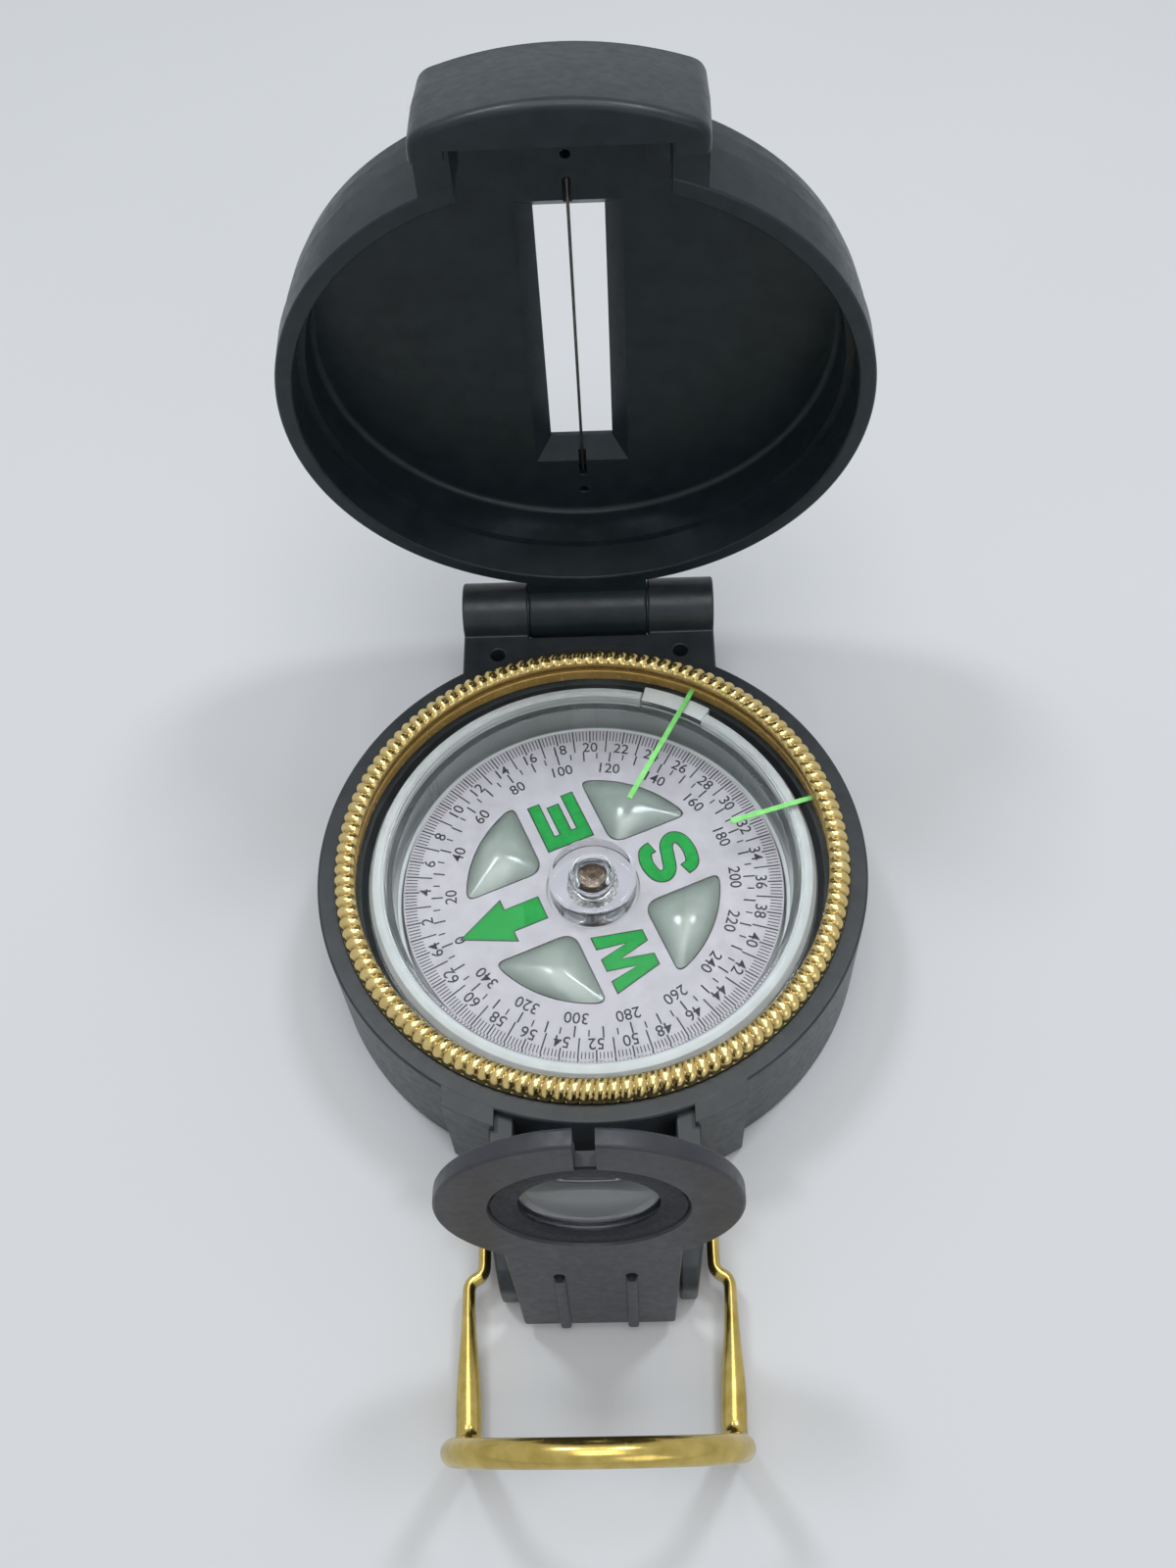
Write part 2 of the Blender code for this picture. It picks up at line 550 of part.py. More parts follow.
def nose_ring(z, half, reach, sagitta, soft=1.3):
    """The nose's plan at one height: straight sides and a bowed end with soft corners."""
    radius = (half * half + sagitta * sagitta) / (2 * sagitta)

    def end_y(x):
        return radius - reach - sqrt(radius * radius - x * x)

    left = fillet((-half, end_y(half) + soft), (-half, end_y(half)), (soft - half, end_y(half - soft)), 3)
    middle = [(x, end_y(x)) for x in ((k / 4 - 1) * (half - soft) for k in range(1, 8))]
    right = [(-x, y) for x, y in reversed(left)]
    return [(x, y, z) for x, y in [(-half, -20.0)] + left + middle + right + [(half, -20.0)]]


def nose():
    """A hood that bridges the case's rim and drops in front of the lugs, sloping outwards as it drops."""
    r, top, lip = CASE_R, COVER_TOP, NOSE_LIP
    levels = ((top, NOSE_X - 0.5, r + 2.9, 2.1), (top - 0.15, NOSE_X - 0.2, r + 3.25, 2.3))
    levels += ((top - 0.5, NOSE_X, r + 3.45, 2.35), (top - 7.0, NOSE_X - 0.1, r + 6.35, 2.6))
    levels += ((lip + 1.0, NOSE_X - 0.35, r + 8.6, 2.8), (lip + 0.3, NOSE_X - 0.45, r + 8.5, 2.75))
    levels += ((lip, NOSE_X - 0.8, r + 8.1, 2.6),)
    return loft("nose", [nose_ring(*level) for level in levels])


def slot_tool():
    """The sighting slot, wider on the inside."""
    x, y, wide_x, wide_y = SLOT_X, SLOT_Y, SLOT_X + SLOT_BEVEL_X, SLOT_Y + SLOT_BEVEL_Y
    levels = ((COVER_PLATE - 1, wide_x, wide_y), (COVER_PLATE, wide_x, wide_y))
    levels += ((COVER_TOP - 0.6, x, y), (COVER_TOP + 1, x, y))
    return loft("slot", [[(-a, -b, z), (a, -b, z), (a, b, z), (-a, b, z)] for z, a, b in levels])


def cover_hollow():
    hollow = [(0, RIM - 4), (COVER_BORE_R, RIM - 4), (COVER_BORE_R, BEZEL_TOP + 2.8)]
    hollow += [(COVER_INNER_R, BEZEL_TOP + 2.9), (COVER_INNER_R, COVER_PLATE - 0.8), (COVER_INNER_R - 0.7, COVER_PLATE)]
    return turned("cover_hollow", hollow + [(0, COVER_PLATE)], TURN_STEPS)


def build_cover():
    axis = new_axis("cover_axis", (0, HINGE_Y, HINGE_Z), (-COVER_OPEN, 0, 0))
    belt, r = RIM + 3.1, COVER_R
    outer = [(0, RIM), (r, RIM), (r, belt), (r - 0.25, belt + 0.2), (r - 0.3, belt + 2.5), (r - 0.6, belt + 4.9)]
    outer += [(r - 1.05, COVER_TOP - 1.1), (r - 1.5, COVER_TOP - 0.35), (r - 2.1, COVER_TOP), (0, COVER_TOP)]
    cover = piece(turned("cover_shell", outer, TURN_STEPS), black_plastic, axis)
    x = MID_KNUCKLE_X
    arm = block("cover_arm", (-x, CASE_R - 2, RIM + 0.05), (x, HINGE_Y, HINGE_Z + KNUCKLE_R))
    hood, lip_back = hang(nose(), axis), -(CASE_R + 3.8)
    cut(hood, block("cheek_relief", (-14, lip_back, NOSE_LIP - 3), (14, -15, RIM + 0.1)))
    fuse(cover, hood, arm, rod("cover_knuckle", (-x, HINGE_Y, HINGE_Z), (x, HINGE_Y, HINGE_Z), KNUCKLE_R, 28))
    inner = NOSE_INNER_Y
    channel = [(inner, NOSE_LIP - 3), (inner, COVER_PLATE - 5.8), (inner + 2.8, COVER_PLATE), (-18, COVER_PLATE)]
    cut(cover, cover_hollow(), slot_tool())
    cut(cover, plate("nose_channel", channel + [(-18, NOSE_LIP - 3)], -NOSE_INNER_X, NOSE_INNER_X, "X"))
    cut(cover, rod("cover_bore", (-8, HINGE_Y, HINGE_Z), (8, HINGE_Y, HINGE_Z), HINGE_PIN_R + RUN))
    floor = COVER_PLATE - 0.6
    for way in (-1, 1):
        near, far = sorted((way * (SLOT_Y - 0.5), way * (WIRE_END_Y + 0.3)))
        end, spare = (0, way * WIRE_END_Y), (0, way * (WIRE_END_Y + 2.8))
        cut(cover, block(f"wire_groove_{way}", (-0.4, near, floor), (0.4, far, WIRE_Z + 0.4)))
        cut(cover, rod(f"wire_hole_{way}", (*end, floor), (*end, WIRE_Z + 1.5), 0.42, 12))
        cut(cover, rod(f"spare_hole_{way}", (*spare, floor), (*spare, COVER_PLATE + 1.2), 0.45, 12))
    build_sighting_wire(axis)


def build_sighting_wire(axis):
    """Strung along the slot, with its ends turned up into the cover's two holes."""
    bend, rise = 0.3, 1.3
    half = [(-WIRE_END_Y, WIRE_Z + rise)]
    half += fillet((-WIRE_END_Y, WIRE_Z + bend), (-WIRE_END_Y, WIRE_Z), (bend - WIRE_END_Y, WIRE_Z), 3)
    path = half + [(-y, z) for y, z in reversed(half)]
    drawn = bpy.data.curves.new("sighting_wire", "CURVE")
    drawn.dimensions = "3D"
    drawn.bevel_depth = WIRE_R * MM
    drawn.bevel_resolution = 2
    drawn.use_fill_caps = True
    spline = drawn.splines.new("POLY")
    spline.points.add(len(path) - 1)
    for point, (y, z) in zip(spline.points, path):
        point.co = (0, y * MM, z * MM, 1)
    made = bpy.data.objects.new("sighting_wire", drawn)
    tools.objects.link(made)
    piece(made, steel, axis)


# ---- eyepiece ----------------------------------------------------------------------------------


def ear(side):
    """From the plate's foot back to the pivot, rounded about it."""
    back = EYE_Y - EYE_RISE * tan(radians(EYE_LEAN))
    outline = [(back, FOLD_Z - 1.3), (back, FOLD_Z + 1.4), (FOLD_Y - 4.0, FOLD_Z + 1.4)]
    outline += arc(FOLD_Y, FOLD_Z, EAR_LOBE, 112, -94, 12)
    inner, outer = sorted((side * EAR_INNER_X, side * EAR_OUTER_X))
    return plate(f"ear_{side}", outline, inner, outer, "X")


def build_eyepiece():
    axis = new_axis("eyepiece_axis", (0, FOLD_Y, FOLD_Z))
    plane = new_axis("eyepiece_plane", (0, EYE_Y, EYE_Z), (90 - EYE_LEAN, 0, 0), axis)
    edge, half = 0.3, EYE_HALF
    disc = [(0, -half), (EYE_R - edge, -half), (EYE_R, edge - half), (EYE_R, half - edge), (EYE_R - edge, half)]
    bracket = piece(whole_ends(turned("lens_bracket", disc + [(0, half)], 48)), black_plastic, plane)
    back = -half - BOSS_RISE
    boss = [(0, back), (BOSS_R - edge, back), (BOSS_R, back + edge), (BOSS_R, half / 2), (0, half / 2)]
    stem = [(-PLATE_LOW_X, PLATE_LOW), (PLATE_LOW_X, PLATE_LOW), (PLATE_HIGH_X, PLATE_HIGH), (-PLATE_HIGH_X, PLATE_HIGH)]
    fuse(bracket, plate("stem", stem, 0.05 - half, half - 0.05), whole_ends(turned("lens_boss", boss)))
    for side in (-1, 1):
        left, right, front = side * RIB_X - RIB_HALF, side * RIB_X + RIB_HALF, half + RIB_RISE
        rib = soften(block(f"rib_{side}", (left, RIB_LOW, half - 0.5), (right, RIB_HIGH, front)), 0.25)
        fuse(bracket, rib, hang(ear(side), axis))
    mouth = [(0, -4), (LENS_HOLE_R, -4), (LENS_HOLE_R, 0.2 - half), (LENS_SEAT_R, 0.2 - half), (LENS_SEAT_R, 0.1)]
    mouth += [(LENS_MOUTH_R, 0.1), (LENS_MOUTH_R, 4), (0, 4)]
    cut(bracket, turned("lens_seat", mouth), block("rear_sight", (-SIGHT_HALF, LENS_HOLE_R - 1, -4), (SIGHT_HALF, EYE_R + 2, 4)))
    for side in (-1, 1):
        spot = (side * RIB_X, RIB_HIGH + 0.75)
        cut(bracket, rod(f"rib_hole_{side}", (*spot, 0), (*spot, 3), 0.42, 12))
    bore = rod("ear_bore", (-8, FOLD_Y, FOLD_Z), (8, FOLD_Y, FOLD_Z), LOOP_PIN_R + RUN)
    cut(bracket, hang(bore, axis))

    low = 0.5 - half
    lens = [(0, low - 0.2), (LENS_R, low - 0.2), (LENS_R, low + 0.35), (LENS_R - 0.6, low + 0.5)]
    lens += [(4.0, low + 0.82), (2.0, low + 1.1), (0, low + 1.2)]
    piece(turned("lens", lens, 28), clear_plastic, plane)
    outer, seat = LENS_MOUTH_R - GAP, 0.25
    ring = [(LENS_R - 0.3, seat), (outer, seat), (outer, seat + 0.45), (LENS_R - 0.15, seat + 0.45)]
    piece(turned("lens_ring", ring, 28), black_plastic, plane)


# ---- thumb loop --------------------------------------------------------------------------------


def loop_stations():
    """The wire's right half: (centre, height direction, half width, half height) from its pivot to its crown."""
    root = Vector((0, FOLD_Y, FOLD_Z))
    tip = root + Vector((0, -RING_REACH, -RING_DROP))
    along, across = (tip - root).normalized(), Vector((1, 0, 0))
    lift = along.cross(across)
    lean = radians(RING_LEAN)
    up, back = Vector((0, -sin(lean), cos(lean))), Vector((0, cos(lean), sin(lean)))
    flat, tall, full = FLAT_HALF, FLAT_TALL, WIRE_FULL_R
    mid_x, long = (ARM_X + KINK_X) / 2, (tip - root).length
    arm = [(EAR_INNER_X + 0.2, 0, flat, flat), (ARM_X - 0.7, 0, flat, flat)]
    arm += [(x, s, flat, flat) for x, s in fillet((ARM_X - 0.7, 0), (ARM_X, 0), (ARM_X, 0.75), 3)[1:]]
    arm += [(ARM_X, 2.0, flat, 0.95), (ARM_X, 5.0, flat, tall)]
    arm += [(x, s, flat, tall) for x, s in fillet((ARM_X, 8.0), (ARM_X, 9.3), (mid_x, 9.75), 3)]
    arm += [(x, s, flat, tall) for x, s in fillet((mid_x, 9.75), (KINK_X, 10.2), (KINK_X, KINK_REACH), 3)[1:]]
    for s, wide in ((13.5, 0.68), (16.0, 0.9), (18.5, 1.08), (20.5, full)):
        share = (s - KINK_REACH) / (long - KINK_REACH)
        arm.append((KINK_X + (RING_X - KINK_X) * share, s, min(wide, full), full))
    stations = [(root + across * x + along * s, lift, wide, high) for x, s, wide, high in arm]
    foot = tip + across * RING_X
    bend = 2.2
    for k in range(4):
        t = k / 3
        spot = (foot - along * bend) * (1 - t) ** 2 + foot * (2 * t * (1 - t)) + (foot + up * bend) * t * t
        way = (along * (1 - t) + up * t).normalized()
        stations.append((spot, way.cross(across), full, full))
    rise = RING_TALL - RING_X
    for k in range(1, 9):
        t = pi / 2 * k / 8
        stations.append((tip + up * (rise + RING_X * sin(t)) + across * (RING_X * cos(t)), back, full, full))
    return stations


def build_loop():
    axis = new_axis("thumb_loop_axis", (0, FOLD_Y, FOLD_Z))
    half, sides = loop_stations(), 8
    mirror = Vector((-1, 1, 1))
    path = half + [(centre * mirror, height, wide, high) for centre, height, wide, high in half[-2::-1]]
    rings = []
    for k, (centre, height, wide, high) in enumerate(path):
        ahead, behind = path[min(k + 1, len(path) - 1)][0], path[max(k - 1, 0)][0]
        side = (ahead - behind).cross(height).normalized()
        rise = side.cross(ahead - behind).normalized()
        turns = [2 * pi * (n + 0.5) / sides for n in range(sides)]
        rings.append([centre + side * (wide * cos(t)) + rise * (high * sin(t)) for t in turns])
    piece(loft("thumb_loop", rings), brass, axis)


def smooth_round_faces():
    """Applies each piece's modifiers and shades it smooth, except across its corners."""
    graph = bpy.context.evaluated_depsgraph_get()
    shaped = {}
    for made in pieces.objects:
        if made.type == "MESH":
            shaped[made] = bpy.data.meshes.new_from_object(made.evaluated_get(graph))
    for made, mesh in shaped.items():
        made.modifiers.clear()
        made.data = mesh
        mesh.shade_smooth()
        mesh.set_sharp_from_angle(angle=radians(35))


clear_scene()
pieces = new_collection("sighting_compass")
tools = new_collection("cutting_tools")
black_plastic = new_material("case_plastic", (0.022, 0.028, 0.032), 0.42)
clear_plastic = new_material("clear_plastic", (0.9, 0.93, 0.92), 0.05, clear=0.9)
milky_plastic = new_material("milky_plastic", (0.55, 0.6, 0.56), 0.2)
brass = new_material("brass", (0.78, 0.6, 0.22), 0.25, metal=1.0)
steel = new_material("steel", (0.5, 0.5, 0.5), 0.3, metal=1.0)
printed_card = new_material("printed_card", (0.72, 0.7, 0.74), 0.5)
luminous = new_material("luminous_green", (0.12, 0.6, 0.2), 0.5)
rubber = new_material("rubber", (0.02, 0.02, 0.02), 0.8)
build_case()
build_hinge_pin()
build_capsule()
build_dial()
build_bezel()
build_cover()
build_eyepiece()
build_loop()
smooth_round_faces()
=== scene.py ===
from math import atan2, cos, degrees, pi, radians, sin, sqrt, tan

import bmesh
import bpy
from mathutils import Matrix, Vector


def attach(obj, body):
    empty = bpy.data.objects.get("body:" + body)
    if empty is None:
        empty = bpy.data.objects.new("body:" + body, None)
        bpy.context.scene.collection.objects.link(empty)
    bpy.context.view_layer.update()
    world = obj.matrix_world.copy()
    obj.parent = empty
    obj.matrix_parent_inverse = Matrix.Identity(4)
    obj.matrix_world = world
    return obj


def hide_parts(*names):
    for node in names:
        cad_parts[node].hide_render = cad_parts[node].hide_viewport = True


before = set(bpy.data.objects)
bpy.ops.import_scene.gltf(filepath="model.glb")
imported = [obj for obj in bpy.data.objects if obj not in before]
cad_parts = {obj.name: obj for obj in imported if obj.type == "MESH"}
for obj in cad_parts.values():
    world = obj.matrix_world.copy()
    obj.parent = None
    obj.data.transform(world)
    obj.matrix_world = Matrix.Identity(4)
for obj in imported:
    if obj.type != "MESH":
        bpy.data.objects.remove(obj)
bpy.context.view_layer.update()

scene = bpy.context.scene

# Every piece is drawn in millimetres, then set in the frame in metres.
toMetres = Matrix.Scale(0.001, 4)
fullTurn, shift = 2 * pi, Matrix.Translation

# The axes that bodies turn on, as y and z, and how each body stands at rest.
stance = {
    "hinge": (31.87, 13.98), "fold": (-28.6, 3.8),
    "dialTurn": 113,  # the dial is drawn with its north along +Y
    "coverOpen": 86.2, "eyeLean": 86.35, "eyeCentre": (0, -39.71, 29.8),
}


def turnOf(angle, axis="Z"):
    return Matrix.Rotation(radians(angle), 4, axis)


def pick(size, names):
    return [size[name] for name in names.split()]


hinge, fold = pick(stance, "hinge fold")
hingeY, hingeZ = hinge
foldY, foldZ = fold
hingeSpot = shift((0, *hinge))
drawnIn = {
    "dial": turnOf(stance["dialTurn"]),
    "cover": hingeSpot @ turnOf(-stance["coverOpen"], "X") @ hingeSpot.inverted(),
    "eyepiece": shift(stance["eyeCentre"]) @ turnOf(stance["eyeLean"], "X"),
}


# Finishes

gloss, clear, metal = "Specular IOR Level", "Transmission Weight", {"Metallic": 1}

# Two tones, patch size, roughness, grain size and grain depth in mm, then the sockets that differ.
finishes = {
    "coverPlastic": ((0.009, 0.016, 0.02), (0.016, 0.026, 0.031), 2.6, (0.3, 0.42), 0.16, 0.012,
                     {gloss: 0.35}),
    "slatePlastic": ((0.02, 0.026, 0.03), (0.033, 0.04, 0.045), 2.6, (0.3, 0.42), 0.16, 0.012, {gloss: 0.4}),
    "eyepiecePlastic": ((0.031, 0.032, 0.04), (0.044, 0.046, 0.056), 2.2, (0.34, 0.46), 0.16, 0.012,
                        {gloss: 0.4}),
    # painted shade: the lens ring is near black to stand for the shaded dish around the lens
    "shadeBlackRingPlastic": ((0.006, 0.007, 0.011), (0.012, 0.013, 0.02), 1, (0.4, 0.55), 0.16, 0.012, {gloss: 0.2}),
    "plugAcrylic": ((0.62, 0.65, 0.66), (0.74, 0.77, 0.78), 2, (0.1, 0.18), 1.2, 0.004, {clear: 0.35}),
    "hubAcrylic": ((0.8, 0.81, 0.84), (0.9, 0.91, 0.93), 3, (0, 0.01), 1.5, 0.001,
                   {clear: 1, "IOR": 1.33, "Coat Weight": 0.25, "Coat Roughness": 0.2}),
    "cleanGlass": ((0.97, 0.99, 0.98), (0.99, 1, 1), 8, (0, 0.012), 4, 0.0006,
                   {clear: 1, "IOR": 1.16, gloss: 0.1}),
    "lensGlass": ((0.9, 0.92, 0.92), (0.95, 0.97, 0.97), 8, (0, 0.012), 4, 0.0006, {clear: 1, "IOR": 1.28}),
    "brightSteel": ((0.45, 0.45, 0.46), (0.62, 0.62, 0.63), 1.2, (0.2, 0.34), 0.1, 0.003, metal),
    "darkWire": ((0.1, 0.1, 0.1), (0.16, 0.15, 0.14), 1, (0.3, 0.4), 0.08, 0.002, metal),
    "wireBrass": ((0.47, 0.35, 0.09), (0.64, 0.49, 0.155), 1.8, (0.17, 0.28), 0.12, 0.004, metal),
    "jewelBrass": ((0.05, 0.025, 0.015), (0.42, 0.27, 0.15), 0.4, (0.1, 0.22), 0.28, 0.12, metal),
    "printedCard": ((0.3, 0.28, 0.305), (0.345, 0.325, 0.355), 1.6, (0.42, 0.55), 0.09, 0.006, {gloss: 0.1}),
    "blackInk": ((0.018, 0.018, 0.02), (0.04, 0.04, 0.042), 0.5, (0.4, 0.5), 0.1, 0.004, {gloss: 0.1}),
    "greenInk": ((0.008, 0.17, 0.03), (0.013, 0.22, 0.044), 0.7, (0.38, 0.5), 0.1, 0.006, {gloss: 0.1}),
    "luminousPaint": ((0.12, 0.44, 0.09), (0.19, 0.55, 0.15), 0.8, (0.45, 0.6), 0.12, 0.01, {}),
    "sealRubber": ((0.012, 0.012, 0.012), (0.03, 0.03, 0.03), 0.8, (0.6, 0.8), 0.1, 0.01, {}),
}

# One finish within the first radius and another beyond the second:
# both tones, then roughness and clearness as they go from the one to the other.
edged = {
    "lidAcrylic": (21, 21.2, (0.96, 0.98, 0.98), (0.55, 0.58, 0.59), (0.02, 0.11), (1, 0.3), 1.2),
    "cupAcrylic": (20.2, 20.35, (0.66, 0.68, 0.7), (0.8, 0.84, 0.85), (0.25, 0.07), (0.15, 0.95), 1.47),
}

# The float's tones, with painted shade darkening the foot of each bubble, and heights and radii in mm
bubbles = {
    # painted shade: the darker tone at each bubble's foot and the paler tones of its crown
    "foot": (0.11, 0.13, 0.118), "crown": ((0.175, 0.2, 0.182), (0.225, 0.25, 0.23)),
    "hubTone": (0.3, 0.28, 0.305),
    "paintedShadeHeights": (7.8, 8.5), "hubRadii": (5, 5.3), "rough": (0.19, 0.25),
}

brass = {
    "knurl": ((0.66, 0.5, 0.19), (0.8, 0.63, 0.28)),
    "groove": (0.2, 0.12, 0.05),
    "wall": ((0.44, 0.27, 0.07), (0.56, 0.36, 0.11)),
    "wallTop": (14.9, 15.1), "wallOuter": (24.9, 25), "wallMetal": 0.35, "rough": (0.14, 0.3),
}


def newMaterial(name):
    made = bpy.data.materials.new(name)
    made.use_nodes = True
    return made.node_tree, made.node_tree.nodes["Principled BSDF"]


def setSockets(tree, node, sockets):
    # each socket gets a value, or follows another node's output
    for name, value in sockets.items():
        if isinstance(value, bpy.types.NodeSocket):
            tree.links.new(value, node.inputs[name])
        else:
            node.inputs[name].default_value = value


def addNode(tree, kind, sockets, **settings):
    node = tree.nodes.new("ShaderNode" + kind)
    for name, value in settings.items():
        setattr(node, name, value)
    setSockets(tree, node, sockets)
    return node.outputs


def objectPlace(tree):
    return addNode(tree, "TexCoord", {})["Object"]


def noiseAt(tree, featureSize, detail=3):
    # featureSize is in millimetres
    sockets = {"Scale": 1000 / featureSize, "Detail": detail, "Roughness": 0.55}
    return addNode(tree, "TexNoise", {"Vector": objectPlace(tree), **sockets})["Fac"]


def spread(tree, source, low, high, fromLow=0.3, fromHigh=0.7):
    sockets = {"Value": source, "From Min": fromLow, "From Max": fromHigh, "To Min": low, "To Max": high}
    return addNode(tree, "MapRange", sockets)["Result"]


def blend(tree, share, first, second):
    # a colour is three numbers or another node's output
    first, second = ((*tone, 1) if isinstance(tone, tuple) else tone for tone in (first, second))
    return addNode(tree, "Mix", {0: share, 6: first, 7: second}, data_type="RGBA")[2]


def mottled(tree, patch, first, second):
    return blend(tree, spread(tree, noiseAt(tree, patch), 0, 1), first, second)


def bumpFrom(tree, height, strength, distance):
    sockets = {"Strength": strength, "Distance": distance * 0.001, "Height": height}
    return addNode(tree, "Bump", sockets)["Normal"]


def heightShare(tree, low, high):
    # 0 below one height and 1 above another
    apart = addNode(tree, "SeparateXYZ", {"Vector": objectPlace(tree)})
    return spread(tree, apart["Z"], 0, 1, low * 0.001, high * 0.001)


def radiusShare(tree, inner, outer):
    # 0 inside one radius and 1 outside another, about the dial's axis
    flat = addNode(tree, "VectorMath", {0: objectPlace(tree), 1: (1, 1, 0)}, operation="MULTIPLY")
    length = addNode(tree, "VectorMath", {0: flat[0]}, operation="LENGTH")
    return spread(tree, length["Value"], 0, 1, inner * 0.001, outer * 0.001)


def makeSurface(name, first, second, patch, rough, grain, depth, extra):
    tree, shader = newMaterial(name)
    setSockets(tree, shader, {
        "Base Color": mottled(tree, patch, first, second),
        "Roughness": spread(tree, noiseAt(tree, patch * 0.37, 4), *rough),
        "Normal": bumpFrom(tree, noiseAt(tree, grain, 2), 0.5, depth),
        "IOR": 1.49,
        **extra,
    })


def makeEdged(name, inner, outer, within, beyond, rough, through, ior):
    tree, shader = newMaterial(name)
    share = radiusShare(tree, inner, outer)
    edge = mottled(tree, 2.4, tuple(c * 0.9 for c in beyond), beyond)
    setSockets(tree, shader, {
        "Base Color": blend(tree, share, within, edge),
        "Roughness": spread(tree, share, *rough, 0, 1),
        clear: spread(tree, share, *through, 0, 1),
        "Normal": bumpFrom(tree, noiseAt(tree, 1.2), 0.5, 0.004),
        "IOR": ior,
    })


def makeBubbles(tones=bubbles):
    # painted shade: greyer at the foot of each bubble and paler toward its crown, by height; as pale as the
    # card about the hub
    tree, shader = newMaterial("floatAcrylicPaintedShade")
    crown = mottled(tree, 3, *tones["crown"])
    # painted shade: each bubble darkens from its crown down to its foot
    bubble = blend(tree, heightShare(tree, *tones["paintedShadeHeights"]), tones["foot"], crown)
    setSockets(tree, shader, {
        "Base Color": blend(tree, radiusShare(tree, *tones["hubRadii"]), tones["hubTone"], bubble),
        "Roughness": spread(tree, noiseAt(tree, 2), *tones["rough"]),
        "Normal": bumpFrom(tree, noiseAt(tree, 1.6, 2), 0.4, 0.003),
        gloss: 0.8,
    })


def makeBrass(tones=brass):
    # darker where the groove attribute rises, and satin on the inner wall
    tree, shader = newMaterial("knurledBrass")
    groove = addNode(tree, "Attribute", {}, attribute_name="groove")["Fac"]
    shade = spread(tree, noiseAt(tree, 1.4), 0, 1)
    above, beyond = heightShare(tree, *tones["wallTop"]), radiusShare(tree, *tones["wallOuter"])
    outside = addNode(tree, "Math", {0: above, 1: beyond}, operation="MAXIMUM")[0]
    share = spread(tree, groove, 0, 0.85, 0.25, 1)
    knurl = blend(tree, share, blend(tree, shade, *tones["knurl"]), tones["groove"])
    setSockets(tree, shader, {
        "Base Color": blend(tree, outside, blend(tree, shade, *tones["wall"]), knurl),
        "Metallic": spread(tree, outside, tones["wallMetal"], 1),
        "Roughness": spread(tree, noiseAt(tree, 0.5, 4), *tones["rough"]),
        "Normal": bumpFrom(tree, noiseAt(tree, 0.22), 0.6, 0.02),
    })


for name, row in finishes.items():
    makeSurface(name, *row)
for name, row in edged.items():
    makeEdged(name, *row)
makeBubbles()
makeBrass()
print("stage: finishes made")


# Outlines

def roundCorners(points, steps=5):
    # a point with a third number is rounded to that radius
    out = []
    for k, point in enumerate(points):
        corner = Vector(point[:2])
        if len(point) < 3:
            out.append(tuple(corner))
            continue
        before, after = Vector(points[k - 1][:2]) - corner, Vector(points[(k + 1) % len(points)][:2]) - corner
        u, v = before.normalized(), after.normalized()
        half = u.angle(v) / 2
        reach = min(point[2] / tan(half), 0.49 * before.length, 0.49 * after.length)
        radius = reach * tan(half)
        centre = corner + (u + v).normalized() * (radius / sin(half))
        start, end = corner + u * reach - centre, corner + v * reach - centre
        first = atan2(start.y, start.x)
        sweep = (atan2(end.y, end.x) - first + pi) % fullTurn - pi
        for step in range(steps + 1):
            t = first + sweep * step / steps
            out.append((centre.x + radius * cos(t), centre.y + radius * sin(t)))
    return out


def arc(u, v, radius, start, end, steps):
    turns = [radians(start + (end - start) * k / steps) for k in range(steps + 1)]
    return [(u + radius * cos(t), v + radius * sin(t)) for t in turns]


def flared(radius, edge, soft, way=1):
    # the rounded mouth of a hole, from its wall out to its edge
    return [(radius + soft * (1 - cos(a)), edge - way * soft * (1 - sin(a))) for a in (0, 0.4, 0.8, 1.2, 1.5)]


def curveTo(a, corner, b, steps):
    out = []
    for t in (k / steps for k in range(steps + 1)):
        out.append(tuple((1 - t) ** 2 * p + 2 * t * (1 - t) * q + t * t * r for p, q, r in zip(a, corner, b)))
    return out


def smoothLine(points, steps):
    # a smooth line through every point
    out = []
    ends = [points[0]] + points + [points[-1]]
    for near in zip(ends, ends[1:], ends[2:], ends[3:]):
        for t in (k / steps for k in range(steps)):
            spot = []
            for p, q, r, s in zip(*near):
                square, cube = 2 * p - 5 * q + 4 * r - s, 3 * q - p - 3 * r + s
                spot.append(0.5 * (2 * q + (r - p) * t + square * t * t + cube * t ** 3))
            out.append(tuple(spot))
    return out + [points[-1]]


def around(points, k):
    # the points before and after one, or itself at an end
    return points[max(k - 1, 0)], points[min(k + 1, len(points) - 1)]


def grow(outline, by):
    # an outline pushed out evenly, for the dark edge of a printed sign
    area = sum(a[0] * b[1] - b[0] * a[1] for a, b in zip(outline, outline[1:] + outline[:1]))
    way = 1 if area > 0 else -1
    out = []
    for k, point in enumerate(outline):
        here = Vector(point)
        into = (here - Vector(outline[k - 1])).normalized()
        onward = (Vector(outline[(k + 1) % len(outline)]) - here).normalized()
        first, second = Vector((into.y, -into.x)) * way, Vector((onward.y, -onward.x)) * way
        middle = (first + second).normalized()
        out.append(tuple(here + middle * (by / max(middle.dot(first), 0.45))))
    return out


def moved(points, x, y, scale):
    return [((u + x) * scale, (v + y) * scale) for u, v in points]


def mirrored(points):
    return [(-u, v) for u, v in reversed(points)]


def turnedBy(points, turn):
    c, s = cos(radians(turn)), sin(radians(turn))
    return [(x * c - y * s, x * s + y * c) for x, y in points]


# Shapes

def addObject(name, data):
    made = bpy.data.objects.new(name, data)
    scene.collection.objects.link(made)
    return made


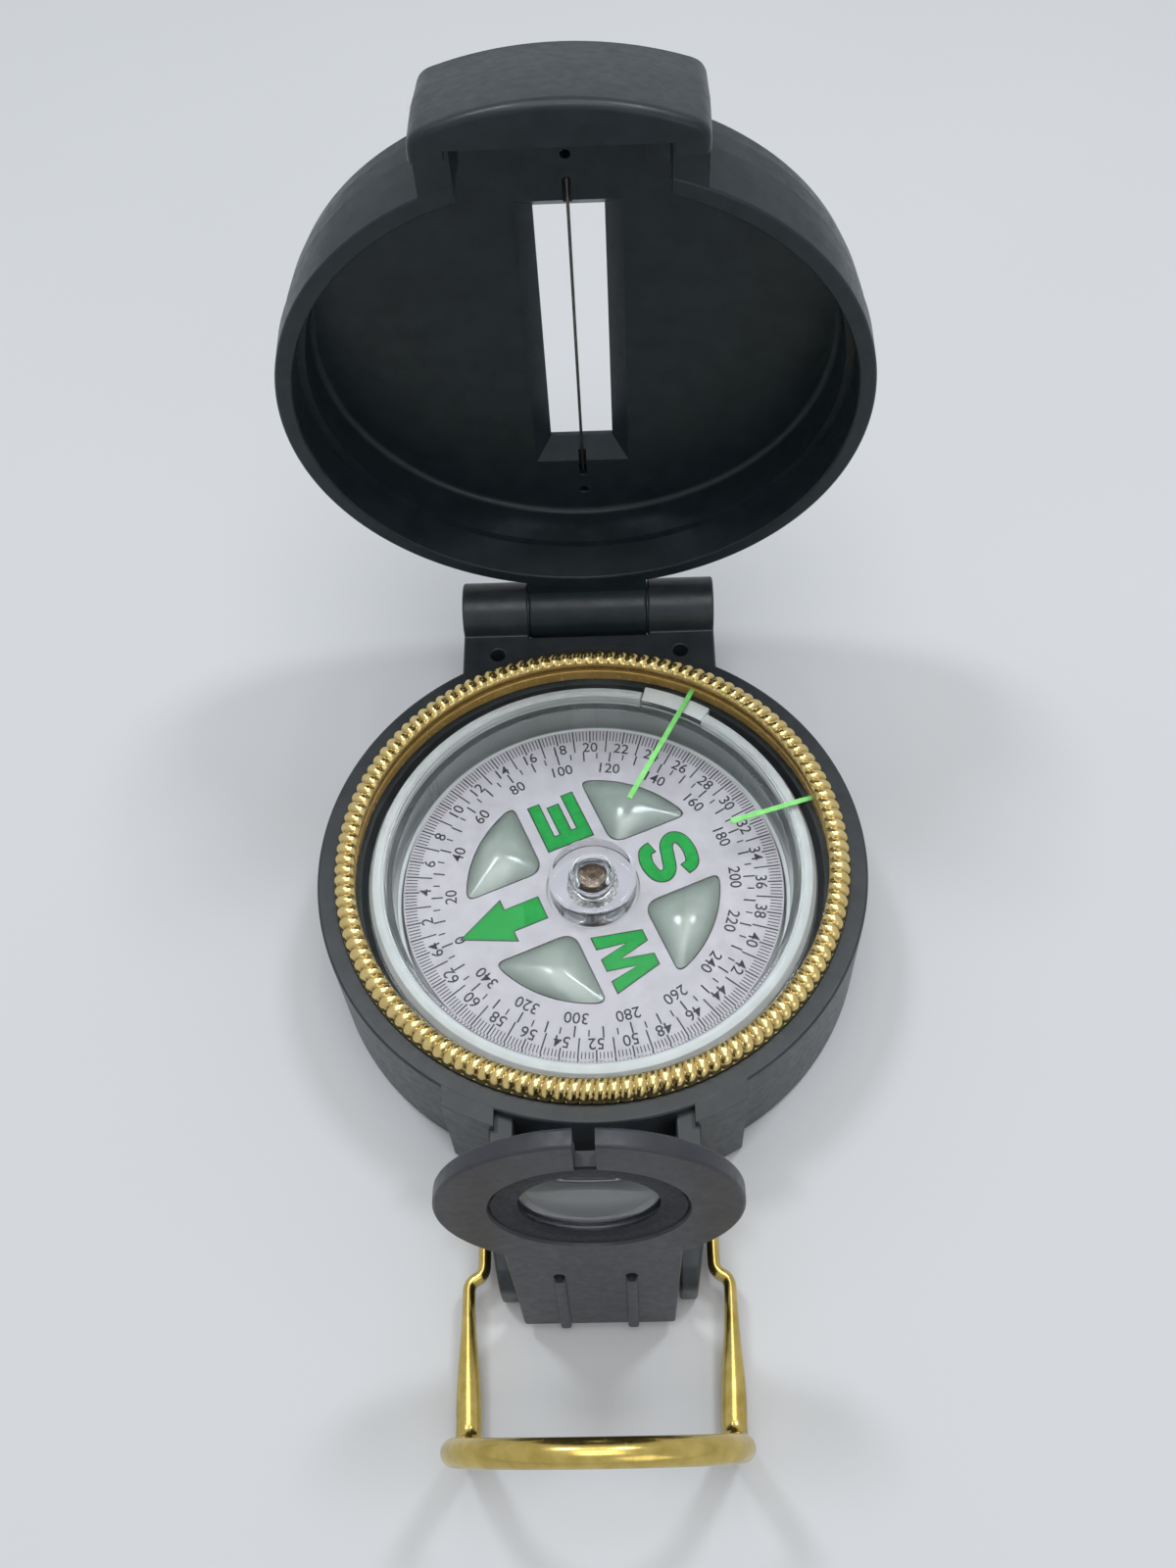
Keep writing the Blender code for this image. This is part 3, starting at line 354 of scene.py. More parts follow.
def shapeFrom(bm):
    bmesh.ops.recalc_face_normals(bm, faces=bm.faces)
    mesh = bpy.data.meshes.new("shape")
    bm.to_mesh(mesh)
    bm.free()
    return addObject("shape", mesh)


def asMesh(made):
    graph = bpy.context.evaluated_depsgraph_get()
    return bpy.data.meshes.new_from_object(made.evaluated_get(graph))


def applyAll(made):
    mesh = asMesh(made)
    made.modifiers.clear()
    made.data = mesh
    return made


def joinColumns(bm, columns, count):
    # closes a ring of columns of vertices, each a closed outline
    for a, b in zip(columns, columns[1:] + columns[:1]):
        for k in range(count):
            n = (k + 1) % count
            corners = list(dict.fromkeys((a[k], b[k], b[n], a[n])))
            if len(corners) > 2:
                bm.faces.new(corners)


def lathe(profile, steps, fine=5):
    # turns a closed outline of radius and height about the upright axis
    if any(len(point) > 2 for point in profile):
        profile = roundCorners(profile, fine)
    bm = bmesh.new()
    poles = {k: bm.verts.new((0, 0, z)) for k, (r, z) in enumerate(profile) if r < 1e-6}
    columns = []
    for step in range(steps):
        c, s = cos(fullTurn * step / steps), sin(fullTurn * step / steps)
        columns.append([poles.get(k) or bm.verts.new((r * c, r * s, z)) for k, (r, z) in enumerate(profile)])
    joinColumns(bm, columns, len(profile))
    return shapeFrom(bm)


def soften(made, width, angle=40):
    bevel = made.modifiers.new("Soft edges", "BEVEL")
    bevel.width, bevel.segments = width, 3
    bevel.limit_method, bevel.angle_limit = "ANGLE", radians(angle)
    return applyAll(made)


def slab(outline, low, high, facing="Z", soft=0):
    # facing Z its points are (x, y), and facing X they are (y, z)
    bm = bmesh.new()
    base = bm.faces.new([bm.verts.new((u, v, low)) for u, v in outline])
    grown = bmesh.ops.extrude_face_region(bm, geom=[base])["geom"]
    raised = [part for part in grown if isinstance(part, bmesh.types.BMVert)]
    bmesh.ops.translate(bm, vec=(0, 0, high - low), verts=raised)
    if facing == "X":
        onSide = Matrix(((0, 0, 1, 0), (1, 0, 0, 0), (0, 1, 0, 0), (0, 0, 0, 1)))
        bmesh.ops.transform(bm, matrix=onSide, verts=bm.verts)
    made = shapeFrom(bm)
    return soften(made, soft) if soft else made


def block(low, high, soft=0):
    outline = [(low[0], low[1]), (high[0], low[1]), (high[0], high[1]), (low[0], high[1])]
    return slab(outline, low[2], high[2], soft=soft)


def loft(rings):
    bm = bmesh.new()
    made = [[bm.verts.new(p) for p in ring] for ring in rings]
    for a, b in zip(made, made[1:]):
        for k in range(len(a)):
            n = (k + 1) % len(a)
            bm.faces.new((a[k], a[n], b[n], b[k]))
    bm.faces.new(made[0])
    bm.faces.new(made[-1])
    return shapeFrom(bm)


def place(made, matrix):
    made.data.transform(matrix)
    return made


def rod(start, end, radius, steps=40, flare=0, soft=0):
    # flare opens the far end, for a cutter that leaves a softened hole
    start, end = Vector(start), Vector(end)
    long = (end - start).length
    profile = [(0, 0), (radius, 0, soft) if soft else (radius, 0)]
    if flare:
        profile += flared(radius, long - flare, flare) + [(radius + flare, long)]
    else:
        profile += [(radius, long, soft) if soft else (radius, long)]
    made = lathe(roundCorners(profile + [(0, long)]), steps)
    turn = (end - start).to_track_quat("Z", "Y").to_matrix().to_4x4()
    return place(made, shift(start) @ turn)


def combine(target, kind, *shapes):
    for shape in shapes:
        step = target.modifiers.new("Join", "BOOLEAN")
        step.operation, step.solver, step.object = kind, "EXACT", shape
    applyAll(target)
    for shape in shapes:
        bpy.data.objects.remove(shape)


def fuse(target, *shapes):
    combine(target, "UNION", *shapes)


def cut(target, *shapes):
    combine(target, "DIFFERENCE", *shapes)


def settle(made, name, body, slot, finish, node=None, turn=None, creaseAt=38):
    # sets a finished shape in the frame, on its body
    made.name = name
    mesh = made.data
    mesh.name = name
    mesh.transform(toMetres @ (turn or drawnIn.get(body, Matrix())))
    mesh.shade_smooth()
    mesh.set_sharp_from_angle(angle=radians(creaseAt))
    mesh.materials.clear()
    mesh.materials.append(bpy.data.materials[finish])
    made.modifiers.new("Even shading", "WEIGHTED_NORMAL").keep_sharp = True
    made.visible_shadow = slot != "clear_plastic"  # light goes through the clear pieces
    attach(made, body)
    if node:
        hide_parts(node)


# Case

caseBody = {
    "radius": 27.5, "top": 13.7, "floor": 2, "well": 23.4, "bore": 25.55,
    "snapGroove": (26.05, 11.3, 12.45),  # its radius, and its low and high edge
    "edge": 0.22, "steps": 224,
    "lugInner": 7.45, "lugOuter": 9.75, "lugTip": -40.1, "lugTop": 12.6, "lugTaper": 0.7,
    "sideRadius": 29, "sideSpan": (9.2, 14.13), "sideFoot": 0.6, "sideBack": -20, "webTop": 1.2,
    "flush": 0.05,  # keeps joined faces from lying exactly together
    "hingeHalf": 13.7, "hingeFoot": 2.6, "hingeRoot": 20, "knuckle": 3.2, "gapHalf": 6.55,
    "washer": (0.12, 0.25),  # how tall it is, and how much smaller than the knuckle
    "ledge": 28.35, "pinHole": 0.9, "loopHole": 0.72,
    "pin": (13.5, 0.8, 0.2),  # half its length, its radius, its soft ends
    "blindHole": (9.93, 26.1, 0.8, 4),  # its place across and along, its radius, its depth
}


def sideBlock(side, size=caseBody):
    r, foot, back, flush = pick(size, "sideRadius sideFoot sideBack flush")
    (inner, outer), steps = size["sideSpan"], 10
    xs = [inner + (outer - inner) * k / steps for k in range(steps + 1)]
    turns = [radians(d) for d in (0, 22, 45, 67, 90)]
    levels = [(flush + foot * (1 - cos(a)), r - foot * (1 - sin(a))) for a in turns]
    rings = []
    for z, reach in levels + [(size["top"] - flush, r)]:
        ring = [(side * x, -sqrt(reach * reach - x * x), z) for x in xs]
        rings.append(ring + [(side * outer, back, z), (side * inner, back, z)])
    return soften(loft(rings), size["edge"], 50)


def lug(side, size=caseBody):
    tip, top, inner, outer = pick(size, "lugTip lugTop lugInner lugOuter")
    wall, low, slim = foldY + 4.1, size["flush"] / 2, outer - size["lugTaper"]
    outline = [(wall, low)] + curveTo((tip + 1.6, low), (tip, low), (tip, 1.8), 8)
    outline += curveTo((tip, 4), (tip, 5.8), (tip + 1.7, 6.6), 8)
    outline += curveTo((foldY - 4.6, 8.5), (foldY - 1.4, 9.7), (foldY - 1.3, top), 10)
    made = slab(outline + [(wall, top)], *sorted((side * inner, side * outer)), "X")
    taper = [(outer, tip + 4.1), (slim, tip), (slim, tip - 1), (outer + 2, tip - 1), (outer + 2, tip + 4.1)]
    cut(made, slab([(side * x, y) for x, y in taper], -1, 9))
    return soften(made, 0.28, 45)


def hingeOutline(size=caseBody):
    root, foot, top, r = pick(size, "hingeRoot hingeFoot top knuckle")
    sink, back = degrees(atan2(hingeZ - top, r)), hingeY + r
    outline = [(root, foot), (root, top)] + arc(hingeY, hingeZ, r, 180 + sink, 0, 40)
    return outline + [(back, foot + 2.2), (back - 2, foot)]


def buildCase(size=caseBody):
    r, top, well, bore, edge, steps = pick(size, "radius top well bore edge steps")
    inner, web, flush, gap, foot, floor = pick(size, "lugInner webTop flush gapHalf hingeFoot floor")
    case = lathe([(0, 0), (r, 0, 0.5), (r, top, 0.3), (0, top)], steps)
    tall, inset = size["washer"]
    for side in (-1, 1):
        cheek = sorted((side * gap, side * size["hingeHalf"]))
        fuse(case, slab(hingeOutline(), *cheek, "X", 0.3))
        tip, root = side * (gap - tall), side * (gap + 0.5)
        fuse(case, rod((tip, *hinge), (root, *hinge), size["knuckle"] - inset, 61))
    reach = gap + 0.4
    low, high = (-reach, size["hingeRoot"], foot + 0.1), (reach, size["ledge"], top - flush / 2)
    fuse(case, block(low, high, 0.12))  # the ledge between the cheeks
    fuse(case, sideBlock(-1))
    case.modifiers.new("Weld", "WELD").merge_threshold = 0.01  # clears slivers before the next joins
    fuse(applyAll(case), sideBlock(1), lug(-1), lug(1))
    across = inner + 0.3
    fuse(case, block((-across, foldY - 7.9, flush / 3), (across, foldY + 4.1, web), 0.2))  # joins the lugs

    wide, low, high = size["snapGroove"]
    hollow = [(0, floor), (well, floor), (well, low), (wide, low), (wide, high), (bore, high)]
    hollow += flared(bore, top, edge) + [(bore + edge, top + 5), (0, top + 5)]
    cut(case, lathe(hollow, steps))
    cut(case, rod((-15, *hinge), (15, *hinge), size["pinHole"], 37))
    across = inner - 0.15
    # the pocket that the eyepiece's ears turn in
    cut(case, block((-across, foldY - 1.4, web - 0.3), (across, foldY + 2.25, foldZ + 5.2)))
    x, y, r, deep = size["blindHole"]
    for side in (-1, 1):
        end = (side * (size["lugOuter"] + 0.15), *fold)
        cut(case, rod((side * 6.5, *fold), end, size["loopHole"], 32, 0.12))
        cut(case, rod((side * x, y, top - deep), (side * x, y, top + 0.12), r, 40, 0.15))
    settle(case, "caseShell", "case", "case_plastic", "slatePlastic", "base_case")

    half, r, soft = size["pin"]
    pin = rod((-half, *hinge), (half, *hinge), r, soft=soft)
    settle(pin, "hingePin", "case", "steel", "brightSteel", "hinge_pin")


buildCase()
print("stage: case made")


# Capsule

capsule = {
    "low": 2.3, "top": 10.7, "inner": 20.3, "outer": 22.8, "floor": 3.4,
    "ledge": (19.9, 6.9, 7.2),  # its radius, and where it starts and meets the wall
    "boss": 1.25, "steps": 200,
    "lidTop": 12.6, "lidUnder": 11.8, "lidOuter": 22.6, "lidFlat": 20.8,
    "lidBead": [(22.3, 11.95, 0.2), (22.15, 12.25, 0.15), (21.6, 12.42, 0.3),
                (21.3, 12.35, 0.1), (21.15, 12.15, 0.08), (20.95, 12.45, 0.15)],
    "sealRadius": 21.55, "sealWire": 0.27, "sealDeep": 0.65,
    "plugInner": 21.1, "plugOuter": 23.05, "plugTurn": 65.5,
    "plugHalf": 9.4,  # in degrees
    "pivotRadius": 0.5, "pivotTip": 9.6,
}


def ringPiece(inner, outer, half, low, high, soft=0):
    turn = capsule["plugTurn"]
    outline = arc(0, 0, outer, turn - half, turn + half, 24) + arc(0, 0, inner, turn + half, turn - half, 24)
    return slab(outline, low, high, soft=soft)


def buildCapsule(size=capsule):
    low, top, inner, outer, floor, steps = pick(size, "low top inner outer floor steps")
    seal, wire, pivot, tip = pick(size, "sealRadius sealWire pivotRadius pivotTip")
    half, trench, socket, boss = wire + 0.13, top - size["sealDeep"], floor + 0.2, floor + size["boss"]
    narrow, ledgeLow, ledgeHigh = size["ledge"]
    cup = [(0, low), (outer, low, 0.4), (outer, top, 0.12), (seal + half, top, 0.08), (seal + half, trench)]
    cup += [(seal - half, trench), (seal - half, top, 0.08), (inner, top, 0.15), (inner, ledgeHigh, 0.15)]
    cup += [(narrow, ledgeLow, 0.15), (narrow, floor, 0.5), (pivot + 1.4, floor, 0.3)]
    cup += [(pivot + 1.2, boss, 0.15), (pivot + 0.1, boss), (pivot + 0.1, socket), (0, socket)]
    settle(lathe(cup, steps), "capsuleCup", "case", "clear_plastic", "cupAcrylic", "capsule_cup")

    lidTop, flat, under, edge = pick(size, "lidTop lidFlat lidUnder lidOuter")
    rim = top + 0.15
    lid = [(edge, rim, 0.1), (edge, rim + 0.55, 0.2)] + size["lidBead"] + [(flat, lidTop, 0.1), (0, lidTop)]
    lid = lathe(lid + [(0, under), (flat, under, 0.2), (flat + 0.2, rim, 0.1)], steps)
    near, far, span = pick(size, "plugInner plugOuter plugHalf")
    notch = span + degrees(0.1 / near)
    cut(lid, ringPiece(near - 0.1, edge + 1, notch, rim - 1, lidTop + 1))
    settle(lid, "capsuleLid", "case", "clear_plastic", "lidAcrylic", "capsule_lid")
    plug = ringPiece(near, far, span, top + 0.1, lidTop - 0.45, 0.18)
    settle(plug, "fillPlug", "case", "clear_plastic", "plugAcrylic", "fill_plug")

    ring = lathe(arc(seal, trench + wire + 0.04, wire, 0, 345, 23), 160)
    settle(ring, "sealRing", "case", "seal_rubber", "sealRubber", "capsule_seal")
    pin = [(0, socket + 0.1), (pivot, socket + 0.1), (pivot, tip - 1, 0.3), (0.08, tip, 0.04), (0, tip)]
    settle(lathe(pin, 40), "pivotPin", "case", "steel", "brightSteel", "dial_pivot")


buildCapsule()
print("stage: capsule made")


# Dial

dial = {
    "cardLow": 7.45, "cardTop": 7.8, "cardRadius": 19.6, "cardHole": 4.8,
    "floatRadius": 19.1, "floatHole": 2.6, "floatLow": 6.7, "floatTop": 7.35,
    "steps": 200, "domeTop": 8.85,
    "domeShare": 0.965,  # of the window's size
    "domeRound": 3, "domeLevels": 17,
    "windowRadius": 13.1, "windowEdge": 3.85, "windowSoft": 1.7,
    "hubRadius": 4.5, "hubStep": 10.35, "hubTop": 11.45, "hubCap": 2.2,
    "jewelRadius": 1.45, "jewelLift": 0.55, "jewelTop": 10.25,
    "magnetHalf": 11, "magnetWide": 2.6, "magnetLevels": (5.3, 6.5),
}


def windowOutline(size=dial):
    edge, soft, radius = pick(size, "windowEdge windowSoft windowRadius")
    fine, end, far = 6, 1, sqrt(radius ** 2 - edge ** 2)
    near, last, over = edge + soft, far - end, far + 0.05
    slope = degrees(atan2(edge, far)) + 5.5
    rim = arc(0, 0, radius, slope, 90 - slope, 18)
    straight = [near + (last - near) * k / 6 for k in range(1, 6)]
    points = curveTo((edge, near), (edge, edge), (near, edge), fine) + [(x, edge) for x in straight]
    points += curveTo((last, edge), (over, edge), rim[0], fine)[:-1] + rim
    points += curveTo(rim[-1], (edge, over), (edge, last), fine)[1:]
    return points + [(edge, y) for y in reversed(straight)]


def windowDome(turn, size=dial):
    # a shallow bubble, rounder in outline the higher it goes
    foot, crown, full = size["cardTop"] - 0.02, size["domeTop"], size["domeShare"]
    levels = [(full, size["floatTop"] - 0.3), (full, foot)]
    for k in range(1, size["domeLevels"]):
        share = 1 - k / size["domeLevels"]
        levels.append((full * share, foot + (crown - foot) * (1 - share ** 2.1) ** 0.95))
    middle = Vector((size["windowRadius"] * 0.55,) * 2)
    rings = []
    for share, z in levels:
        ring, fade = [], min(1, (share / full) ** 2)
        for point in windowOutline():
            out = Vector(point) - middle
            ring.append(middle + (out * fade + out.normalized() * size["domeRound"] * (1 - fade)) * share)
        rings.append([(x, y, z) for x, y in turnedBy(ring, turn)])
    return loft(rings)


def buildDialBody(size=dial):
    low, high, hole, radius, steps = pick(size, "cardLow cardTop cardHole cardRadius steps")
    card = [(radius, high, 0.08), (radius, low, 0.08), (hole, low), (hole, high, 0.08)]
    card = lathe(card, steps, 3)
    hole, radius, foot, top = pick(size, "floatHole floatRadius floatLow floatTop")
    floater = lathe([(hole, foot), (radius, foot, 0.2), (radius, top, 0.1), (hole, top)], steps)
    for turn in (0, 90, 180, 270):
        cut(card, slab(turnedBy(windowOutline(), turn), low - 1, high + 1))
        fuse(floater, windowDome(turn))
    settle(card, "dialCard", "dial", "printed_card", "printedCard", "dial_card")
    settle(floater, "dialFloat", "dial", "milky_plastic", "floatAcrylicPaintedShade", "dial_float", creaseAt=30)

    radius, step, top, cap = pick(size, "hubRadius hubStep hubTop hubCap")
    hollow = size["jewelRadius"] + 0.3
    hub = [(hollow, low, 0.2), (radius, low, 0.2), (radius, step, 0.45), (cap, step, 0.35)]
    hub += [(cap, top - 0.3, 0.5), (cap * 0.55, top, 0.8), (0, top), (0, top - 0.7), (hollow, top - 0.9, 0.4)]
    settle(lathe(hub, 120, 8), "dialHub", "dial", "clear_plastic", "hubAcrylic", "dial_hub", creaseAt=30)

    r, crown, foot = size["jewelRadius"], size["jewelTop"], low + size["jewelLift"]
    cup = [(0.9, foot), (r, foot, 0.1), (r, crown, 0.25), (0.35, crown, 0.15), (0, crown - 0.35)]
    settle(lathe(cup, 64), "jewelCup", "dial", "brass", "jewelBrass", "jewel_cup")

    half, wide = pick(size, "magnetHalf magnetWide")
    outline = [(wide - 1.4, half), (wide, half - 2.4), (wide, 2.4 - half), (wide - 1.4, -half)]
    bar = slab(outline + mirrored(outline), *size["magnetLevels"], soft=0.15)
    cut(bar, rod((0, 0, 4), (0, 0, 7), 1.6))
    settle(bar, "dialMagnet", "dial", "steel", "brightSteel", "dial_magnet")


# A kind of tick is its inner and outer radius and its width.
dialPrint = {
    "thick": 0.02, "signScale": 1.035, "numberHigh": 1.22,
    "capShare": 0.72,  # of a letter's full height
    "bolder": 0.012, "milsRadius": 17.25, "degreesRadius": 14.6, "outline": 0.13, "stroke": 1.15,
    "fineMils": (18.2, 19.4, 0.1), "oddMils": (16.75, 19.45, 0.15), "evenMils": (17.95, 19.45, 0.15),
    "tenDegrees": (15.5, 16.7, 0.17), "fiveDegrees": (15.85, 16.55, 0.14),
}


def tick(bm, bearing, inner, outer, wide):
    low, high = dial["cardTop"] - 0.01, dial["cardTop"] + dialPrint["thick"]
    spot = shift((0, (inner + outer) / 2, (low + high) / 2))
    bar = Matrix.Diagonal((wide, outer - inner, high - low, 1))
    bmesh.ops.create_cube(bm, size=1, matrix=turnOf(-bearing) @ spot @ bar)


def numeral(bm, text, bearing, radius, size=dialPrint):
    drawn = bpy.data.curves.new("numeral", "FONT")
    drawn.body = text
    drawn.align_x = drawn.align_y = "CENTER"
    drawn.size = size["numberHigh"] / size["capShare"]
    drawn.extrude = size["thick"] / 2
    drawn.offset = size["bolder"]
    drawn.resolution_u = 3
    made = addObject("numeral", drawn)
    mesh = asMesh(made)
    bpy.data.objects.remove(made)
    mesh.transform(turnOf(-bearing) @ shift((0, radius, dial["cardTop"] + size["thick"] / 2)))
    bm.from_mesh(mesh)


def printScales(size=dialPrint):
    bm = bmesh.new()
    for step in range(320):  # every 20 mils
        kind = {0: "evenMils", 5: "oddMils"}.get(step % 10, "fineMils")
        tick(bm, step * 360 / 320, *size[kind])
    for step in range(72):
        tick(bm, step * 5, *size["fiveDegrees" if step % 2 else "tenDegrees"])
    for hundreds in range(2, 66, 2):
        numeral(bm, str(hundreds), hundreds * 360 / 64, size["milsRadius"])
    for bearing in range(0, 360, 20):
        numeral(bm, str(bearing), bearing, size["degreesRadius"])
    bmesh.ops.remove_doubles(bm, verts=bm.verts, dist=1e-4)
    settle(shapeFrom(bm), "dialScales", "dial", "printed_card", "blackInk")


def strokeOutline(path, half, over):
    # a ribbon about a path, longer by a little at both ends
    left, right = [], []
    for k, point in enumerate(path):
        behind, ahead = around(path, k)
        way = (Vector(ahead) - Vector(behind)).normalized()
        side = Vector((-way.y, way.x)) * half
        more = way * (over * ((k == len(path) - 1) - (k == 0)))
        left.append(tuple(Vector(point) + side + more))
        right.append(tuple(Vector(point) - side + more))
    return left + right[::-1]


def printSigns(size=dialPrint):
    letterE = [(0, -2.4), (5.5, -2.4), (5.5, -1.3), (1.3, -1.3), (1.3, -0.55), (4.75, -0.55)]
    letterE += [(x, -y) for x, y in reversed(letterE)]
    letterW = [(-3.15, 2.4), (-1.9, 2.4), (-1.32, -0.7), (-0.62, 2.4), (0.62, 2.4), (1.32, -0.7), (1.9, 2.4)]
    letterW += [(3.15, 2.4), (1.98, -2.4), (0.82, -2.4), (0, 0.9), (-0.82, -2.4), (-1.98, -2.4)]
    arrow = [(1.22, 5.5), (1.22, 9.1), (2.35, 9.1)]
    arrow += [(0, 14)] + mirrored(arrow)
    curveS = [(1.72, 1.1), (1.42, 1.9), (0.1, 2.27), (-1.35, 1.95), (-1.82, 1.15), (-1.25, 0.42), (0, 0.02)]
    curveS += [(1.35, -0.4), (1.92, -1.2), (1.45, -1.98), (0, -2.28), (-1.5, -1.95), (-1.9, -1.05)]
    thick, edge, scale, stroke = pick(size, "thick outline signScale stroke")
    signs = {}
    drawn = {"signEast": (letterE, 5.6, 0), "signWest": (letterW, -8.35, 0), "signNorth": (arrow, 0, 0)}
    for name, spot in drawn.items():
        outline = moved(*spot, scale)
        signs[name] = (outline, grow(outline, edge))
    path, half = moved(smoothLine(curveS, 7), 0, -8.25, scale), stroke / 2 * scale
    signs["signSouth"] = (strokeOutline(path, half, 0), strokeOutline(path, half + edge, edge))
    low = dial["cardTop"]
    for name, (fill, rim) in signs.items():
        settle(slab(fill, low - 0.01, low + thick * 2), name, "dial", "printed_card", "greenInk")
        settle(slab(rim, low - 0.02, low + thick), name + "Edge", "dial", "printed_card", "blackInk")


buildDialBody()
printScales()
printSigns()
print("stage: dial made")


# Bezel

bezel = {
    "teeth": 129, "columnsPerTooth": 8, "depth": 0.36, "slant": 0.38,
    "crown": [(23.62, 15.1), (23.82, 15.38), (24.35, 15.53), (24.95, 15.42),
              (25.4, 15.1), (25.68, 14.6), (25.72, 14.02)],
    "crownSteps": 4, "lip": 23.6, "glassRadius": 24.5, "glassLow": 13.2, "glassTop": 14.4,
    "markWide": 0.55, "markHigh": 0.15, "markOuter": 23.7,
    "marks": (("markerLong", "marker_long", 62.2, 8.5), ("markerShort", "marker_short", 17.2, 14.9)),
}


def bezelSection(size=bezel):
    # each point: radius, height, how far a groove cuts there, the way it cuts, the share of the way out
    low, top, lip, seat = pick(size, "glassLow glassTop lip glassRadius")
    low, top, seat = low - 0.05, top + 0.05, seat + 0.3
    crown, section = smoothLine(size["crown"], size["crownSteps"]), []
    for k, (r, z) in enumerate(crown):
        share = k / (len(crown) - 1)
        behind, ahead = around(crown, k)
        along = (Vector(ahead) - Vector(behind)).normalized()
        fade = min(1, 0.45 + share / 0.15, (1 - share) / 0.1 + 0.3)
        section.append((r, z, size["depth"] * fade, (along.y, -along.x), share))
    plain = [(25.25, 13.95), (25.25, 12.3), (25.75, 12.05, 0.1), (25.75, 11.6, 0.1), (23.9, 11.6)]
    plain += [(lip + 0.15, low, 0.1), (seat, low), (seat, top), (lip, top, 0.06), (lip - 0.03, 14.95)]
    return section + [(r, z, 0, (0, 0), 0) for r, z in roundCorners(plain, 4)]


def buildBezel(size=bezel):
    section, fine = bezelSection(), size["columnsPerTooth"]
    bm = bmesh.new()
    groove = bm.verts.layers.float.new("groove")
    columns = []
    for c in range(size["teeth"] * fine):
        t = fullTurn * c / (size["teeth"] * fine)
        column = []
        for r, z, depth, way, share in section:
            phase = (c / fine + size["slant"] * share) % 1
            hollow = (1 - sin(pi * phase) ** 0.6) * depth
            near, high = r + way[0] * hollow, z + way[1] * hollow
            vert = bm.verts.new((near * cos(t), near * sin(t), high))
            vert[groove] = hollow / size["depth"]
            column.append(vert)
        columns.append(column)
    joinColumns(bm, columns, len(section))
    settle(shapeFrom(bm), "bezelRing", "bezel", "brass", "knurledBrass", "bezel_ring", creaseAt=60)

    low, high, r = pick(size, "glassLow glassTop glassRadius")
    pane = lathe([(0, low), (r, low, 0.05), (r, high, 0.18), (0, high)], 200)
    settle(pane, "bezelGlass", "bezel", "clear_plastic", "cleanGlass", "bezel_glass")
    top, half = low - 0.05, size["markWide"] / 2
    for name, node, turn, inner in size["marks"]:
        mark = block((inner, -half, top - size["markHigh"]), (size["markOuter"], half, top), 0.04)
        settle(mark, name, "bezel", "luminous_paint", "luminousPaint", node, turnOf(turn))


buildBezel()
print("stage: bezel made")


# Cover, drawn shut

cover = {
    "radius": 27.7, "rim": 14, "plate": 22.6, "top": 25, "bore": 26.05, "inner": 25.3,
    "flare": 0.22, "belt": 3.1, "steps": 224,
    "slot": (3.2, 15.1, 1.6, 1.95),  # half its width and length, and how much wider it opens inside
    "noseHalf": 11.8, "noseRoot": 27.5, "noseLip": 10.6, "noseSoft": 1.3, "noseInnerHalf": 8.7,
    "noseInnerY": -32.4, "armHalf": 6.4, "knuckle": 3.2, "pinHole": 0.9,
    "wireRadius": 0.15, "wireHeight": 23, "wireEnd": 19, "wireRise": 1.3, "wireBend": 0.3, "spareHole": 2.8,
}


def noseRing(z, half, reach, sagitta):
    soft, radius = cover["noseSoft"], (half * half + sagitta * sagitta) / (2 * sagitta)

    def endY(x):
        return radius - reach - sqrt(radius * radius - x * x)

    left = curveTo((-half, endY(half) + soft), (-half, endY(half)), (soft - half, endY(half - soft)), 7)
    middle = [(x, endY(x)) for x in ((k / 10 - 1) * (half - soft) for k in range(1, 20))]
    outline = [(-half, -20)] + left + middle + mirrored(left) + [(half, -20)]
    return [(x, y, z) for x, y in outline]


def buildNose(size=cover):
    r, top, lip, half = pick(size, "noseRoot top noseLip noseHalf")
    levels = []  # height, half its width, how far it reaches, how much it bows
    for a in (radians(d) for d in (90, 68, 45, 22, 0)):
        c, s = 0.5 * cos(a), 0.5 * sin(a)
        levels.append((top - 0.5 + s, half - 0.5 + c, r + 2.95 + c, 2.2 + 0.3 * c))
    for z, slim, reach, bow in (
            (top - 4, 0.05, 4.95, 2.48), (top - 7, 0.1, 6.35, 2.6), (lip + 3, 0.25, 7.9, 2.75),
            (lip + 1, 0.35, 8.6, 2.8), (lip + 0.6, 0.37, 8.62, 2.79), (lip + 0.3, 0.45, 8.5, 2.75),
            (lip + 0.1, 0.58, 8.33, 2.7), (lip, 0.8, 8.1, 2.6)):
        levels.append((z, half - slim, r + reach, bow))
    return loft([noseRing(*level) for level in levels])


